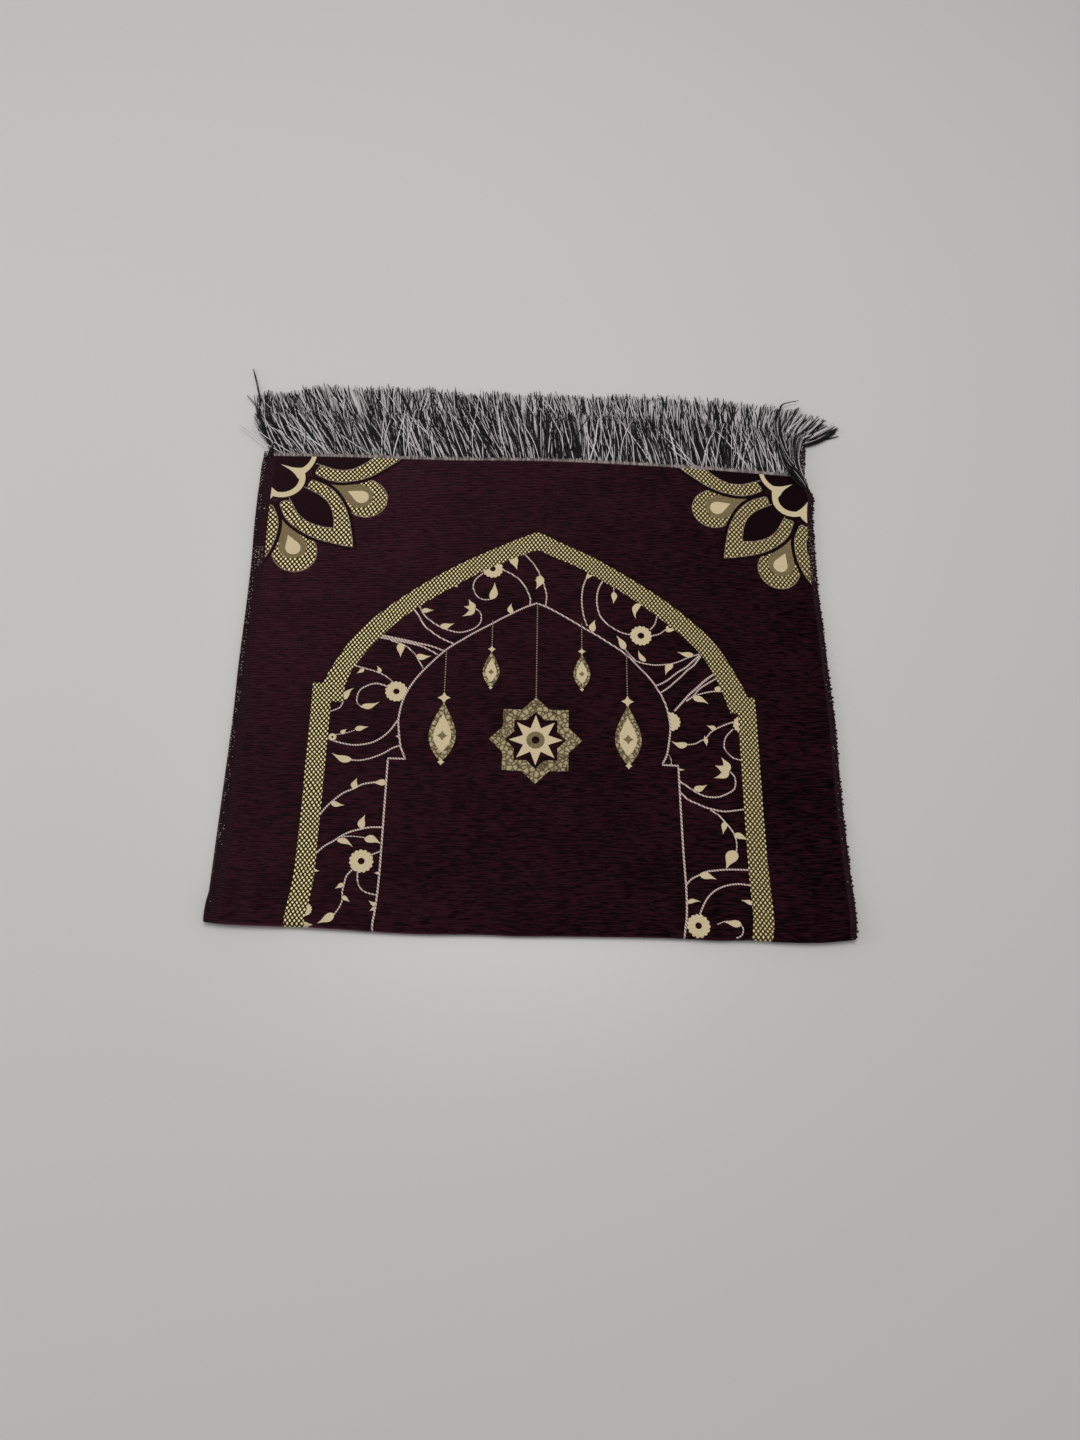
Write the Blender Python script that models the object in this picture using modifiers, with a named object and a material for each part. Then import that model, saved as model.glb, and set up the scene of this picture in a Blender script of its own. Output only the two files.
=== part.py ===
"""A fringed prayer rug, folded once across its length and lying on a floor with its face outwards.

The lower layer lies flat, the fold is at the front (-Y), and the upper layer eases down from the
fold on to the lower one. A fringe tape with its locks of yarn is sewn to each end of the cloth.
Metres, +Z up. The origin is on the floor, at the middle of the flat underside.
"""
import math
import random
from collections import namedtuple

import bmesh
import bpy

# The woven cloth. Lengths run along it from the nose of the fold.
WIDTH = 0.680
THICKNESS = 0.0024
UPPER_LENGTH = 0.592
LOWER_LENGTH = 0.628
FOLD_Y = -0.300             # the front of the fold in this frame
LAYER_GAP = 0.0008          # least air between the two layers
WAVE_HEIGHT = 0.0014        # how far the upper layer rides up in its shallow waves
WAVE_ACROSS = 0.310         # from one wave to the next, across the rug
WAVE_ALONG = 0.270          # and along it
SETTLE = 0.070              # run behind the fold in which the upper layer comes to rest
WAVE_START = 0.8            # where the waves across begin
END_RUN = 0.100             # the upper layer's last stretch, drawn in towards the fold

# How the rug lies, in sections across it: its place across, how far back each layer's end lies from
# FOLD_Y, how far the upper one's last stretch is drawn in, and the bend's height between the middles
# of the two layers.
Section = namedtuple("Section", "at upper_end end_draw lower_end bend_height")
SECTIONS = (
    Section(-0.340, 0.5820, +0.0000, 0.6290, 0.0085),
    Section(-0.240, 0.5862, -0.0008, 0.6245, 0.0070),
    Section(-0.120, 0.5905, -0.0032, 0.6242, 0.0058),
    Section(+0.010, 0.5940, -0.0015, 0.6266, 0.0055),
    Section(+0.170, 0.5930, -0.0015, 0.6308, 0.0061),
    Section(+0.340, 0.5850, +0.0000, 0.6352, 0.0075),
)
# Where the nose of the fold lies, back from FOLD_Y, in steps across the rug.
Nose = namedtuple("Nose", "at back")
NOSES = (
    Nose(-0.340, +0.0010),
    Nose(-0.320, -0.0009),
    Nose(-0.285, -0.0016),
    Nose(-0.235, -0.0020),
    Nose(-0.200, -0.0032),
    Nose(-0.160, -0.0050),
    Nose(-0.115, -0.0060),
    Nose(-0.055, -0.0050),
    Nose(-0.020, -0.0057),
    Nose(+0.025, -0.0048),
    Nose(+0.133, -0.0038),
    Nose(+0.165, -0.0046),
    Nose(+0.195, -0.0054),
    Nose(+0.222, -0.0045),
    Nose(+0.258, -0.0056),
    Nose(+0.300, -0.0054),
    Nose(+0.325, -0.0030),
    Nose(+0.340, -0.0012),
)

# How far each layer's long edges lie off a straight line, in steps back from the fold.
Edge = namedtuple("Edge", "at left right")
UPPER_EDGES = (
    Edge(0.000, +0.0003, -0.0004),
    Edge(0.020, +0.0005, +0.0016),
    Edge(0.045, +0.0034, +0.0021),
    Edge(0.090, +0.0035, +0.0012),
    Edge(0.160, +0.0030, +0.0005),
    Edge(0.220, +0.0021, +0.0009),
    Edge(0.250, +0.0017, +0.0014),
    Edge(0.290, +0.0006, +0.0003),
    Edge(0.330, +0.0002, -0.0005),
    Edge(0.375, +0.0001, -0.0008),
    Edge(0.410, -0.0003, -0.0020),
    Edge(0.440, -0.0009, -0.0028),
    Edge(0.490, -0.0031, -0.0016),
    Edge(0.530, -0.0040, -0.0003),
    Edge(0.545, -0.0040, +0.0012),
    Edge(0.562, -0.0040, +0.0034),
    Edge(0.578, -0.0042, -0.0018),
    Edge(0.592, -0.0030, -0.0051),
)
LOWER_EDGES = (
    Edge(0.000, +0.0003, -0.0004),
    Edge(0.420, +0.0020, -0.0030),
    Edge(0.540, +0.0040, -0.0040),
    Edge(0.585, +0.0030, -0.0041),
    Edge(0.603, -0.0018, -0.0014),
    Edge(0.613, -0.0085, -0.0006),
    Edge(0.622, -0.0150, +0.0002),
    Edge(0.628, -0.0155, +0.0007),
)

# The two fringes: the tape's own sizes, then its locks of yarn. Lean is in degrees from
# straight back, to the right where positive.
TAPE_GAP = 0.0004           # between the cloth's end and the tape
TAPE_DEPTH = 0.0065
TAPE_THICKNESS = 0.0016
LOCK_SHARE = 0.68           # of the tape's length is locks, and the rest the gaps between them
LOCK_TIP_WIDTH = 0.0018
LOCK_TIP_THICKNESS = 0.0012
LENGTH_SPREAD = 0.0035      # cut ends are uneven by this much
Lock = namedtuple("Lock", "at lean length")
UPPER_LOCKS = (
    Lock(-0.340, -29.0, 0.068),
    Lock(-0.240, -30.0, 0.072),
    Lock(-0.200, -21.0, 0.069),
    Lock(-0.150, -17.0, 0.070),
    Lock(-0.110, -22.0, 0.073),
    Lock(-0.030, -18.0, 0.072),
    Lock(+0.010, -6.0, 0.070),
    Lock(+0.100, -4.0, 0.070),
    Lock(+0.165, -10.0, 0.071),
    Lock(+0.210, +0.0, 0.070),
    Lock(+0.290, -4.0, 0.068),
    Lock(+0.340, -2.0, 0.064),
)
LOWER_LOCKS = (
    Lock(-0.356, -6.0, 0.043),
    Lock(-0.325, -23.0, 0.049),
    Lock(-0.300, -24.0, 0.057),
    Lock(-0.250, -25.0, 0.071),
    Lock(-0.205, -19.0, 0.070),
    Lock(-0.190, -5.0, 0.068),
    Lock(-0.160, -7.0, 0.068),
    Lock(-0.100, -16.0, 0.068),
    Lock(-0.045, -18.0, 0.069),
    Lock(-0.015, -5.0, 0.067),
    Lock(+0.100, -3.0, 0.067),
    Lock(+0.200, -6.0, 0.065),
    Lock(+0.240, +1.0, 0.063),
    Lock(+0.290, +14.0, 0.060),
    Lock(+0.320, +38.0, 0.056),
    Lock(+0.336, +62.0, 0.053),
)
# left and right: where the tape begins and ends across the cloth
# bottoms: height of a lock's underside at each of its stations, from the tape to the tip
Fringe = namedtuple("Fringe", "locks left right count bottoms seed")
UPPER_FRINGE = Fringe(UPPER_LOCKS, -0.3290, +0.3270, 136, (0.0032, 0.0029, 0.0024), 11)
LOWER_FRINGE = Fringe(LOWER_LOCKS, -0.3396, +0.3392, 106, (0.0, 0.0), 23)

# Mesh fineness
CLOTH_COLUMNS = 25
BEND_ROW = 0.0013           # spacing of the rows round the fold
BEND_ROWS = 6               # on each side of the nose
SETTLE_ROWS = 4
# rows of points along each layer, from the nose of the fold, closer where its edges turn
LOWER_STATIONS = (0.628, 0.622, 0.613, 0.603, 0.585, 0.540, 0.420, 0.280, 0.140)
UPPER_STATIONS = (0.070, 0.115, 0.160, 0.205, 0.250, 0.290, 0.330, 0.370, 0.410, 0.440, 0.465, 0.490, 0.510,
                  0.530, 0.545, 0.562, 0.578, 0.592)

# Colours (linear) and roughness
CLOTH_FINISH = ((0.021, 0.006, 0.010, 1.0), 0.80)
FRINGE_FINISH = ((0.110, 0.100, 0.100, 1.0), 0.75)


def smooth(share):
    """0 to 1 with a soft start and end."""
    share = min(1.0, max(0.0, share))
    return share * share * (3.0 - 2.0 * share)


def read(rows, column, at):
    """One column of a table at a place, on a smooth curve through its rows."""
    at = min(rows[-1].at, max(rows[0].at, at))
    here = max(i for i in range(len(rows) - 1) if rows[i].at <= at or i == 0)
    before, start, end, after = (rows[min(len(rows) - 1, max(0, here + step))] for step in (-1, 0, 1, 2))
    span = end.at - start.at
    share = (at - start.at) / span
    first, last = getattr(start, column), getattr(end, column)
    leave = span * (last - getattr(before, column)) / (end.at - before.at)
    arrive = span * (getattr(after, column) - first) / (after.at - start.at)
    squared, cubed = share ** 2, share ** 3
    return (first * (2 * cubed - 3 * squared + 1) + leave * (cubed - 2 * squared + share)
            + last * (3 * squared - 2 * cubed) + arrive * (cubed - squared))


def upper_height(across, run):
    """Middle of the upper layer above the floor, at a run behind the bend."""
    bend_top = THICKNESS / 2 + read(SECTIONS, "bend_height", across)
    sideways = math.sin(math.tau * across / WAVE_ACROSS + WAVE_START)
    wave = 0.5 + 0.5 * sideways * math.cos(math.tau * run / WAVE_ALONG)
    fade = smooth((UPPER_LENGTH - run) / (2 * SETTLE))
    rest = 1.5 * THICKNESS + LAYER_GAP + WAVE_HEIGHT * wave * fade
    settled = smooth(run / SETTLE)
    return bend_top * (1 - settled) + rest * settled


def lay(across, along):
    """Where a point of the flat cloth lies: its middle, in x, y and z.

    along is measured from the nose of the fold, negative on the lower layer.
    """
    radius = read(SECTIONS, "bend_height", across) / 2
    bend = math.pi * radius / 2
    centre = FOLD_Y + read(NOSES, "back", across) + radius + THICKNESS / 2
    run = abs(along) - bend
    left = max(0.0, -2 * across / WIDTH) ** 4
    right = max(0.0, 2 * across / WIDTH) ** 4
    if run <= 0:
        angle = along / radius
        y = centre - radius * math.cos(angle)
        z = THICKNESS / 2 + radius + radius * math.sin(angle)
    elif along > 0:
        end = FOLD_Y + read(SECTIONS, "upper_end", across)
        y = centre + (end - centre) * run / (UPPER_LENGTH - bend)
        y += read(SECTIONS, "end_draw", across) * smooth((along - UPPER_LENGTH + END_RUN) / END_RUN)
        z = upper_height(across, run)
    else:
        end = FOLD_Y + read(SECTIONS, "lower_end", across)
        y = centre + (end - centre) * run / (LOWER_LENGTH - bend)
        z = THICKNESS / 2
    edges = UPPER_EDGES if along > 0 else LOWER_EDGES
    x = across + left * read(edges, "left", abs(along)) + right * read(edges, "right", abs(along))
    return x, y, z


def finish(name, colour, roughness):
    material = bpy.data.materials.new(name)
    material.use_nodes = True
    shader = material.node_tree.nodes["Principled BSDF"]
    shader.inputs["Base Color"].default_value = colour
    shader.inputs["Roughness"].default_value = roughness
    shader.inputs["Metallic"].default_value = 0.0
    return material


def add_object(name, shape, collection, material):
    mesh = bpy.data.meshes.new(name)
    shape.to_mesh(mesh)
    shape.free()
    mesh.materials.append(material)
    piece = bpy.data.objects.new(name, mesh)
    collection.objects.link(piece)
    return piece


def cloth_rows():
    """Stations along the cloth from the lower end to the upper one, close together at the fold."""
    bend = BEND_ROW * BEND_ROWS
    rows = [-station for station in LOWER_STATIONS]
    rows += [BEND_ROW * i for i in range(-BEND_ROWS, BEND_ROWS)]
    rows += [bend + (SETTLE - bend) * i / SETTLE_ROWS for i in range(SETTLE_ROWS)]
    return rows + list(UPPER_STATIONS)


def make_cloth(collection):
    """One woven sheet, laid round its fold and given its thickness."""
    rows = cloth_rows()
    shape = bmesh.new()
    bmesh.ops.create_grid(shape, x_segments=CLOTH_COLUMNS, y_segments=len(rows) - 1, size=0.5)
    for point in shape.verts:
        across = point.co.x * WIDTH
        along = rows[round((point.co.y + 0.5) * (len(rows) - 1))]
        point.co = lay(across, along)
    cloth = add_object("rug_cloth", shape, collection, finish("woven cloth", *CLOTH_FINISH))
    thicken = cloth.modifiers.new("cloth thickness", "SOLIDIFY")
    thicken.thickness = THICKNESS
    thicken.offset = 0.0
    return cloth


def make_fringe(name, fringe, cloth_end, collection):
    """A tape along the cloth's end, with a lock of yarn drawn out of every other face of it."""
    columns = 2 * fringe.count + 1
    pitch = (fringe.right - fringe.left) / (fringe.count + 1 - LOCK_SHARE)
    half = TAPE_THICKNESS / 2
    shape = bmesh.new()
    bmesh.ops.create_grid(shape, x_segments=columns, y_segments=1, size=0.5)
    for point in shape.verts:
        column = round((point.co.x + 0.5) * columns)
        across = fringe.left + pitch * (column // 2 + (1 - LOCK_SHARE if column % 2 else 0.0))
        x, y, z = lay(across, cloth_end)
        far = point.co.y > 0
        lower_side = half if cloth_end < 0 else z
        point.co = (x, y + TAPE_GAP + (TAPE_DEPTH if far else 0.0), lower_side - half)
    raised = bmesh.ops.extrude_face_region(shape, geom=shape.faces[:])["geom"]
    top = [item for item in raised if isinstance(item, bmesh.types.BMVert)]
    bmesh.ops.translate(shape, verts=top, vec=(0.0, 0.0, TAPE_THICKNESS))
    bmesh.ops.recalc_face_normals(shape, faces=shape.faces[:])

    ends = sorted((face for face in shape.faces if face.normal.y > 0.9), key=middle_x)
    roots = ends[1::2]
    draw_locks(shape, roots, fringe)
    bmesh.ops.recalc_face_normals(shape, faces=shape.faces[:])
    return add_object(name, shape, collection, finish(name.replace("_", " "), *FRINGE_FINISH))


def middle_x(face):
    return face.calc_center_median().x


def draw_locks(shape, roots, fringe):
    """Draws each root face out into a tapering four-sided lock, station by station."""
    chance = random.Random(fringe.seed)
    steps = len(fringe.bottoms)
    starts = []
    for face in roots:
        middle = face.calc_center_median()
        xs = [point.co.x for point in face.verts]
        zs = [point.co.z for point in face.verts]
        spread = chance.uniform(-LENGTH_SPREAD, LENGTH_SPREAD)
        starts.append((middle.copy(), max(xs) - min(xs), max(zs) - min(zs), spread))
    faces = roots
    for step, bottom in enumerate(fringe.bottoms, start=1):
        share = step / steps
        drawn = bmesh.ops.extrude_discrete_faces(shape, faces=faces)["faces"]
        faces = sorted(drawn, key=middle_x)
        for face, (root, width, thickness, spread) in zip(faces, starts):
            lean = math.radians(read(fringe.locks, "lean", root.x))
            reach = (read(fringe.locks, "length", root.x) + spread) * share
            middle = face.calc_center_median()
            half_width = (width + (LOCK_TIP_WIDTH - width) * share) / 2
            deep = thickness + (LOCK_TIP_THICKNESS - thickness) * share
            for point in face.verts:
                side = 1 if point.co.x > middle.x else -1
                above = point.co.z > middle.z
                point.co = (root.x + reach * math.sin(lean) + side * half_width,
                            root.y + reach * math.cos(lean),
                            bottom + (deep if above else 0.0))


def main():
    for item in list(bpy.data.objects):
        bpy.data.objects.remove(item)
    collection = bpy.data.collections.new("prayer rug")
    bpy.context.scene.collection.children.link(collection)
    make_cloth(collection)
    make_fringe("fringe_upper", UPPER_FRINGE, UPPER_LENGTH, collection)
    make_fringe("fringe_lower", LOWER_FRINGE, -LOWER_LENGTH, collection)


main()
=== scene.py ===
import math
from collections import namedtuple

import bpy
import numpy as np
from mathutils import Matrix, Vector, geometry


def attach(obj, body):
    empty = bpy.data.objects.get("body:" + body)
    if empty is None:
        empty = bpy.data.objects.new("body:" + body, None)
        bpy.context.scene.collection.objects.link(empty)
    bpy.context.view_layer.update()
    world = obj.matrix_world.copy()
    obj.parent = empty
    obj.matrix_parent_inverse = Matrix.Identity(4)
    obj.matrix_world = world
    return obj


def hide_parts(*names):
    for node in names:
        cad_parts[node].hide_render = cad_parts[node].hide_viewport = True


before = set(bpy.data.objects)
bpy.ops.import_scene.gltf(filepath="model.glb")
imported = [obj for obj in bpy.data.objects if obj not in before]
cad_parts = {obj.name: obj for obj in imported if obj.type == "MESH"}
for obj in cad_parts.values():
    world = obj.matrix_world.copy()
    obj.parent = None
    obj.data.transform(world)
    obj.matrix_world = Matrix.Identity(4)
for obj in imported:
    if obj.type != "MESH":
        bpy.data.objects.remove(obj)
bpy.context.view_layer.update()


# Camera
# A camera held above the front of the folded rug, looking down and a little towards the fringe.
CAMERA_PLACE = (-0.0536, -0.5389, 1.1256)
CAMERA_TURN = (23.04, -3.20, 0.70)      # degrees about X, Y and Z
CAMERA_LENS = 27.02                     # mm, on a sensor 36 mm high
SENSOR = 36.0


def add_object(name, data):
    made = bpy.data.objects.new(name, data)
    bpy.context.scene.collection.objects.link(made)
    return made


camera_data = bpy.data.cameras.new("camera")
camera_data.lens = CAMERA_LENS
camera_data.sensor_width = SENSOR
camera = add_object("camera", camera_data)
camera.location = CAMERA_PLACE
camera.rotation_euler = [math.radians(turn) for turn in CAMERA_TURN]
bpy.context.scene.camera = camera


# How the cloth lies
# One woven length, folded once across its middle with the face outwards. The lower layer is flat
# on the floor, the bend at the front stands up a little, and the upper layer settles behind it.
WIDTH = 0.680
THICKNESS = 0.0024
UPPER_LENGTH = 0.592        # both lengths run from the nose of the fold
LOWER_LENGTH = 0.628
FOLD_Y = -0.300             # the front of the fold in this frame
LAYER_GAP = 0.0008          # least air between the two layers
WAVE_HEIGHT = 0.0014        # the upper layer's shallow waves
WAVE_ACROSS = 0.310
WAVE_ALONG = 0.270
WAVE_START = 0.8
SETTLE = 0.070              # run behind the fold in which the upper layer comes to rest
END_RUN = 0.100             # the upper layer's last stretch, drawn in towards the fold
SKIN_STEP = 0.0004          # points this far apart show which way the cloth faces


def table(fields, rows):
    """Plain rows with a name for each of their columns."""
    kind = namedtuple("Row", fields)
    return [kind(*row) for row in rows]


# its place across, how far back each layer ends, the upper one's draw there, and the bend's height
SECTIONS = table("at upper_end end_draw lower_end bend_height", (
    (-0.34, 0.582, 0, 0.629, 0.0085), (-0.24, 0.5862, -0.0008, 0.6245, 0.007),
    (-0.12, 0.5905, -0.0032, 0.6242, 0.0058), (0.01, 0.594, -0.0015, 0.6266, 0.0055),
    (0.17, 0.593, -0.0015, 0.6308, 0.0061), (0.34, 0.585, 0, 0.6352, 0.0075),
))
# where the nose of the fold lies, in steps across the rug
NOSES = table("at back", (
    (-0.34, 0.001), (-0.32, -0.0009), (-0.285, -0.0016), (-0.235, -0.002), (-0.2, -0.0032), (-0.16, -0.005),
    (-0.115, -0.006), (-0.055, -0.005), (-0.02, -0.0057), (0.025, -0.0048), (0.133, -0.0038),
    (0.165, -0.0046), (0.195, -0.0054), (0.222, -0.0045), (0.258, -0.0056), (0.3, -0.0054), (0.325, -0.003),
    (0.34, -0.0012),
))
# how far each layer's long edges lie off a straight line, in steps back from the fold
UPPER_EDGES = table("at left right", (
    (0, 0.0003, -0.0004), (0.02, 0.0005, 0.0016), (0.045, 0.0034, 0.0021), (0.09, 0.0035, 0.0012),
    (0.16, 0.003, 0.0005), (0.22, 0.0021, 0.0009), (0.25, 0.0017, 0.0014), (0.29, 0.0006, 0.0003),
    (0.33, 0.0002, -0.0005), (0.375, 0.0001, -0.0008), (0.41, -0.0003, -0.002), (0.44, -0.0009, -0.0028),
    (0.49, -0.0031, -0.0016), (0.53, -0.004, -0.0003), (0.545, -0.004, 0.0012), (0.562, -0.004, 0.0034),
    (0.578, -0.0042, -0.0018), (0.592, -0.003, -0.0051),
))
LOWER_EDGES = table("at left right", (
    (0, 0.0003, -0.0004), (0.42, 0.002, -0.003), (0.54, 0.004, -0.004), (0.585, 0.003, -0.0041),
    (0.603, -0.0018, -0.0014), (0.613, -0.0085, -0.0006), (0.622, -0.015, 0.0002), (0.628, -0.0155, 0.0007),
))
# Soft creases pressed up into the upper layer: middle, heading in degrees, and sizes in metres.
CREASES = table("x y heading length width height", (
    (-0.3, 0.15, 84, 0.15, 0.016, 0.001), (-0.262, -0.12, 12, 0.11, 0.02, 0.0009),
    (0.05, -0.245, 4, 0.19, 0.014, 0.0008), (0.292, -0.06, 76, 0.12, 0.018, 0.001),
    (0.12, 0.235, 171, 0.13, 0.02, 0.0008), (-0.09, 0.04, 8, 0.16, 0.026, 0.0007),
))


def smooth(share):
    share = np.clip(share, 0.0, 1.0)
    return share * share * (3.0 - 2.0 * share)


def read(rows, column, at):
    """One column of a table at a place, on a smooth curve through its rows."""
    places = np.array([row.at for row in rows])
    values = np.array([getattr(row, column) for row in rows])
    at = np.clip(at, places[0], places[-1])
    here = np.clip(np.searchsorted(places, at, side="right") - 1, 0, len(rows) - 2)
    before = np.maximum(here - 1, 0)
    after = np.minimum(here + 2, len(rows) - 1)
    span = places[here + 1] - places[here]
    share = (at - places[here]) / span
    leave = span * (values[here + 1] - values[before]) / (places[here + 1] - places[before])
    arrive = span * (values[after] - values[here]) / (places[after] - places[here])
    squared, cubed = share ** 2, share ** 3
    return (values[here] * (2 * cubed - 3 * squared + 1) + leave * (cubed - 2 * squared + share)
            + values[here + 1] * (3 * squared - 2 * cubed) + arrive * (cubed - squared))


def crease_height(x, y):
    total = np.zeros_like(x)
    for crease in CREASES:
        heading = math.radians(crease.heading)
        ahead = (x - crease.x) * math.cos(heading) + (y - crease.y) * math.sin(heading)
        aside = (y - crease.y) * math.cos(heading) - (x - crease.x) * math.sin(heading)
        ends = smooth(1.0 - np.abs(ahead) / (crease.length / 2))
        total = total + crease.height * ends * np.exp(-(aside / crease.width) ** 2)
    return total


def upper_height(across, run):
    bend_top = THICKNESS / 2 + read(SECTIONS, "bend_height", across)
    sideways = np.sin(math.tau * across / WAVE_ACROSS + WAVE_START)
    wave = 0.5 + 0.5 * sideways * np.cos(math.tau * run / WAVE_ALONG)
    fade = smooth((UPPER_LENGTH - run) / (2 * SETTLE))
    rest = 1.5 * THICKNESS + LAYER_GAP + WAVE_HEIGHT * wave * fade
    settled = smooth(run / SETTLE)
    return bend_top * (1 - settled) + rest * settled


def lay(across, along):
    """Where points of the flat cloth lie. along runs from the nose of the fold, below 0 underneath."""
    across, along = np.broadcast_arrays(np.asarray(across, float), np.asarray(along, float))
    radius = read(SECTIONS, "bend_height", across) / 2
    bend = math.pi * radius / 2
    centre = FOLD_Y + read(NOSES, "back", across) + radius + THICKNESS / 2
    run = np.abs(along) - bend
    angle = np.clip(along / radius, -math.pi / 2, math.pi / 2)
    upper = along > 0
    upper_end, lower_end = read(SECTIONS, "upper_end", across), read(SECTIONS, "lower_end", across)
    end = FOLD_Y + np.where(upper, upper_end, lower_end)
    length = np.where(upper, UPPER_LENGTH, LOWER_LENGTH)
    y = centre - radius * np.cos(angle) + (end - centre) * np.maximum(run, 0) / (length - bend)
    y = y + read(SECTIONS, "end_draw", across) * smooth((along - UPPER_LENGTH + END_RUN) / END_RUN)
    bent = THICKNESS / 2 + radius + radius * np.sin(angle)
    z = np.where(run <= 0, bent, np.where(upper, upper_height(across, run), THICKNESS / 2))
    back = np.abs(along)
    left_shift = np.where(upper, read(UPPER_EDGES, "left", back), read(LOWER_EDGES, "left", back))
    right_shift = np.where(upper, read(UPPER_EDGES, "right", back), read(LOWER_EDGES, "right", back))
    left = np.maximum(0, -2 * across / WIDTH) ** 4
    right = np.maximum(0, 2 * across / WIDTH) ** 4
    x = across + left * left_shift + right * right_shift
    z = z + np.where(upper, crease_height(x, y), 0.0) * smooth(run / SETTLE)
    return np.stack([x, y, z], axis=-1)


def skin(across, along, rise):
    """Points at a height above the cloth's middle, out of its face where rise is positive."""
    sideways = lay(across + SKIN_STEP, along) - lay(across - SKIN_STEP, along)
    onwards = lay(across, along + SKIN_STEP) - lay(across, along - SKIN_STEP)
    outwards = np.cross(sideways, onwards)
    outwards /= np.linalg.norm(outwards, axis=-1, keepdims=True)
    return lay(across, along) + outwards * np.asarray(rise)[..., None]


# Woven design: the gold arch
# The arch, its shoulders and its two pillars are one gold band of small bright lozenges, woven
# into the ground by the same loom. The design is drawn flat, in millimetres from its own middle
# line and from the fold, and each later shape covers the ones before it.
DESIGN_ZERO = 7.9           # the design's zero lies this far along the cloth from the nose of the fold
DESIGN_SCALE = (1.003, 0.987)   # the cloth lies a little drawn out, and its design is woven shorter
DESIGN_MIDDLE = -1.5        # and its middle line this far to the right of the cloth's
# both edges of the arch, from its left foot over the apex to the right one
ARCH_OUTER = ((-242, 275), (-234, 296), (-214, 333), (-188, 365), (-147, 401), (-97, 436), (-48, 463),
              (-14, 480), (-2, 484), (10, 479), (31, 468), (64, 452), (97, 432), (130, 410), (163, 385),
              (196, 355), (216, 328), (235, 291), (241, 275))
ARCH_INNER = ((-218, 252), (-217, 274), (-207, 301), (-184, 334), (-158, 363), (-122, 392), (-72, 425),
              (-39, 443), (-14, 455), (-1, 459), (14, 452), (47, 437), (80, 417), (113, 395), (146, 369),
              (179, 340), (199, 312), (214, 274), (220, 254))
# the pillars and the thin line beside them, which wander a little on their way down
SIDE_STEP = 6.0
SIDES = table("at left_out left_in left_line right_line right_in right_out", (
    (275, -253.3, -231.8, -163.6, 157.8, 228.5, 249.4), (188, -253.2, -231.8, -163.6, 157.8, 228.5, 249.6),
    (90, -253.2, -232.2, -163.8, 159.4, 228.8, 250.2), (45, -254, -232.4, -164.2, 160.9, 229.6, 251.2),
    (14, -256.6, -235, -165.6, 159.9, 230.2, 252.4), (-2, -257.8, -237.2, -167.2, 157.4, 228.6, 250.6),
    (-60, -254, -232.4, -164.6, 158.6, 228.6, 250.2), (-290, -253.2, -231.8, -163.8, 158.8, 228.6, 250.2),
    (-488, -253.2, -231.8, -163.8, 158.8, 228.6, 250.2),
    (-524, -253.2, -231.8, -163.8, 158.8, 228.6, 250.2),
))

design = []                 # (outline in metres, weave) in the order in which they cover each other


def through(points, spacing=3.0):
    """A smooth line through a few points, with a new point every few millimetres."""
    points = np.asarray(points, float)
    padded = np.vstack([2 * points[0] - points[1], points, 2 * points[-1] - points[-2]])
    line = [points[0]]
    for before, start, end, after in zip(padded, padded[1:], padded[2:], padded[3:]):
        steps = max(2, int(round(np.linalg.norm(end - start) / spacing)))
        for share in np.linspace(0, 1, steps + 1)[1:]:
            squared, cubed = share ** 2, share ** 3
            line.append(0.5 * (2 * start + (end - before) * share
                               + (2 * before - 5 * start + 4 * end - after) * squared
                               + (3 * start - before - 3 * end + after) * cubed))
    return np.array(line)


def paint(outline, weave, middle=DESIGN_MIDDLE):
    outline = np.asarray(outline, float) * DESIGN_SCALE + (middle, DESIGN_ZERO)
    design.append((outline / 1000.0, weave))


def side_line(column, top):
    """One upright edge from the arch's foot down past the fold, with a point every few millimetres."""
    places = np.append(np.arange(SIDES[-1].at, top, SIDE_STEP), top)
    return np.stack([read(SIDES[::-1], column, places), places], axis=1)[::-1]


outer_side = np.vstack([side_line("left_out", ARCH_OUTER[0][1])[::-1], through(ARCH_OUTER),
                        side_line("right_out", ARCH_OUTER[-1][1])])
inner_side = np.vstack([side_line("left_in", ARCH_INNER[0][1])[::-1], through(ARCH_INNER),
                        side_line("right_in", ARCH_INNER[-1][1])])
arch_band = np.vstack([outer_side, inner_side[::-1]])


# Woven design: the inner outline
# A thin cream line follows the arch inside it, draws in to a point on each side and steps out
# again, then runs down beside the pillars.
LINE_WIDTH = 2.0
INNER_ARCH = ((0, 386.5), (11, 382), (22, 376), (37, 367), (54, 356), (71, 345.5), (83.5, 337),
              (102.5, 323.5), (120, 305.5), (136.5, 284.5), (148, 261.5), (152.5, 238), (152, 223),
              (148, 199.5), (142, 186))
INNER_MIDDLE = -2.3
INNER_STEP = 186            # where the line steps out, and goes on down
INNER_BASE = -488


def mirrored(half):
    """A half outline that ends on the middle line, with its mirror image added."""
    half = np.asarray(half, float)
    return np.vstack([half * (-1, 1), half[-2::-1]])


def ribbon(line, start_width, end_width=None):
    """The outline of a line drawn with a width that may taper."""
    line = np.asarray(line, float)
    ahead = np.gradient(line, axis=0)
    ahead /= np.linalg.norm(ahead, axis=1, keepdims=True)
    aside = np.stack([-ahead[:, 1], ahead[:, 0]], axis=1)
    end_width = start_width if end_width is None else end_width
    half = np.linspace(start_width, end_width, len(line))[:, None] / 2
    return np.vstack([line + aside * half, (line - aside * half)[::-1]])


def line_side(column):
    run = side_line(column, INNER_STEP)
    return run[run[:, 1] >= INNER_BASE]


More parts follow.
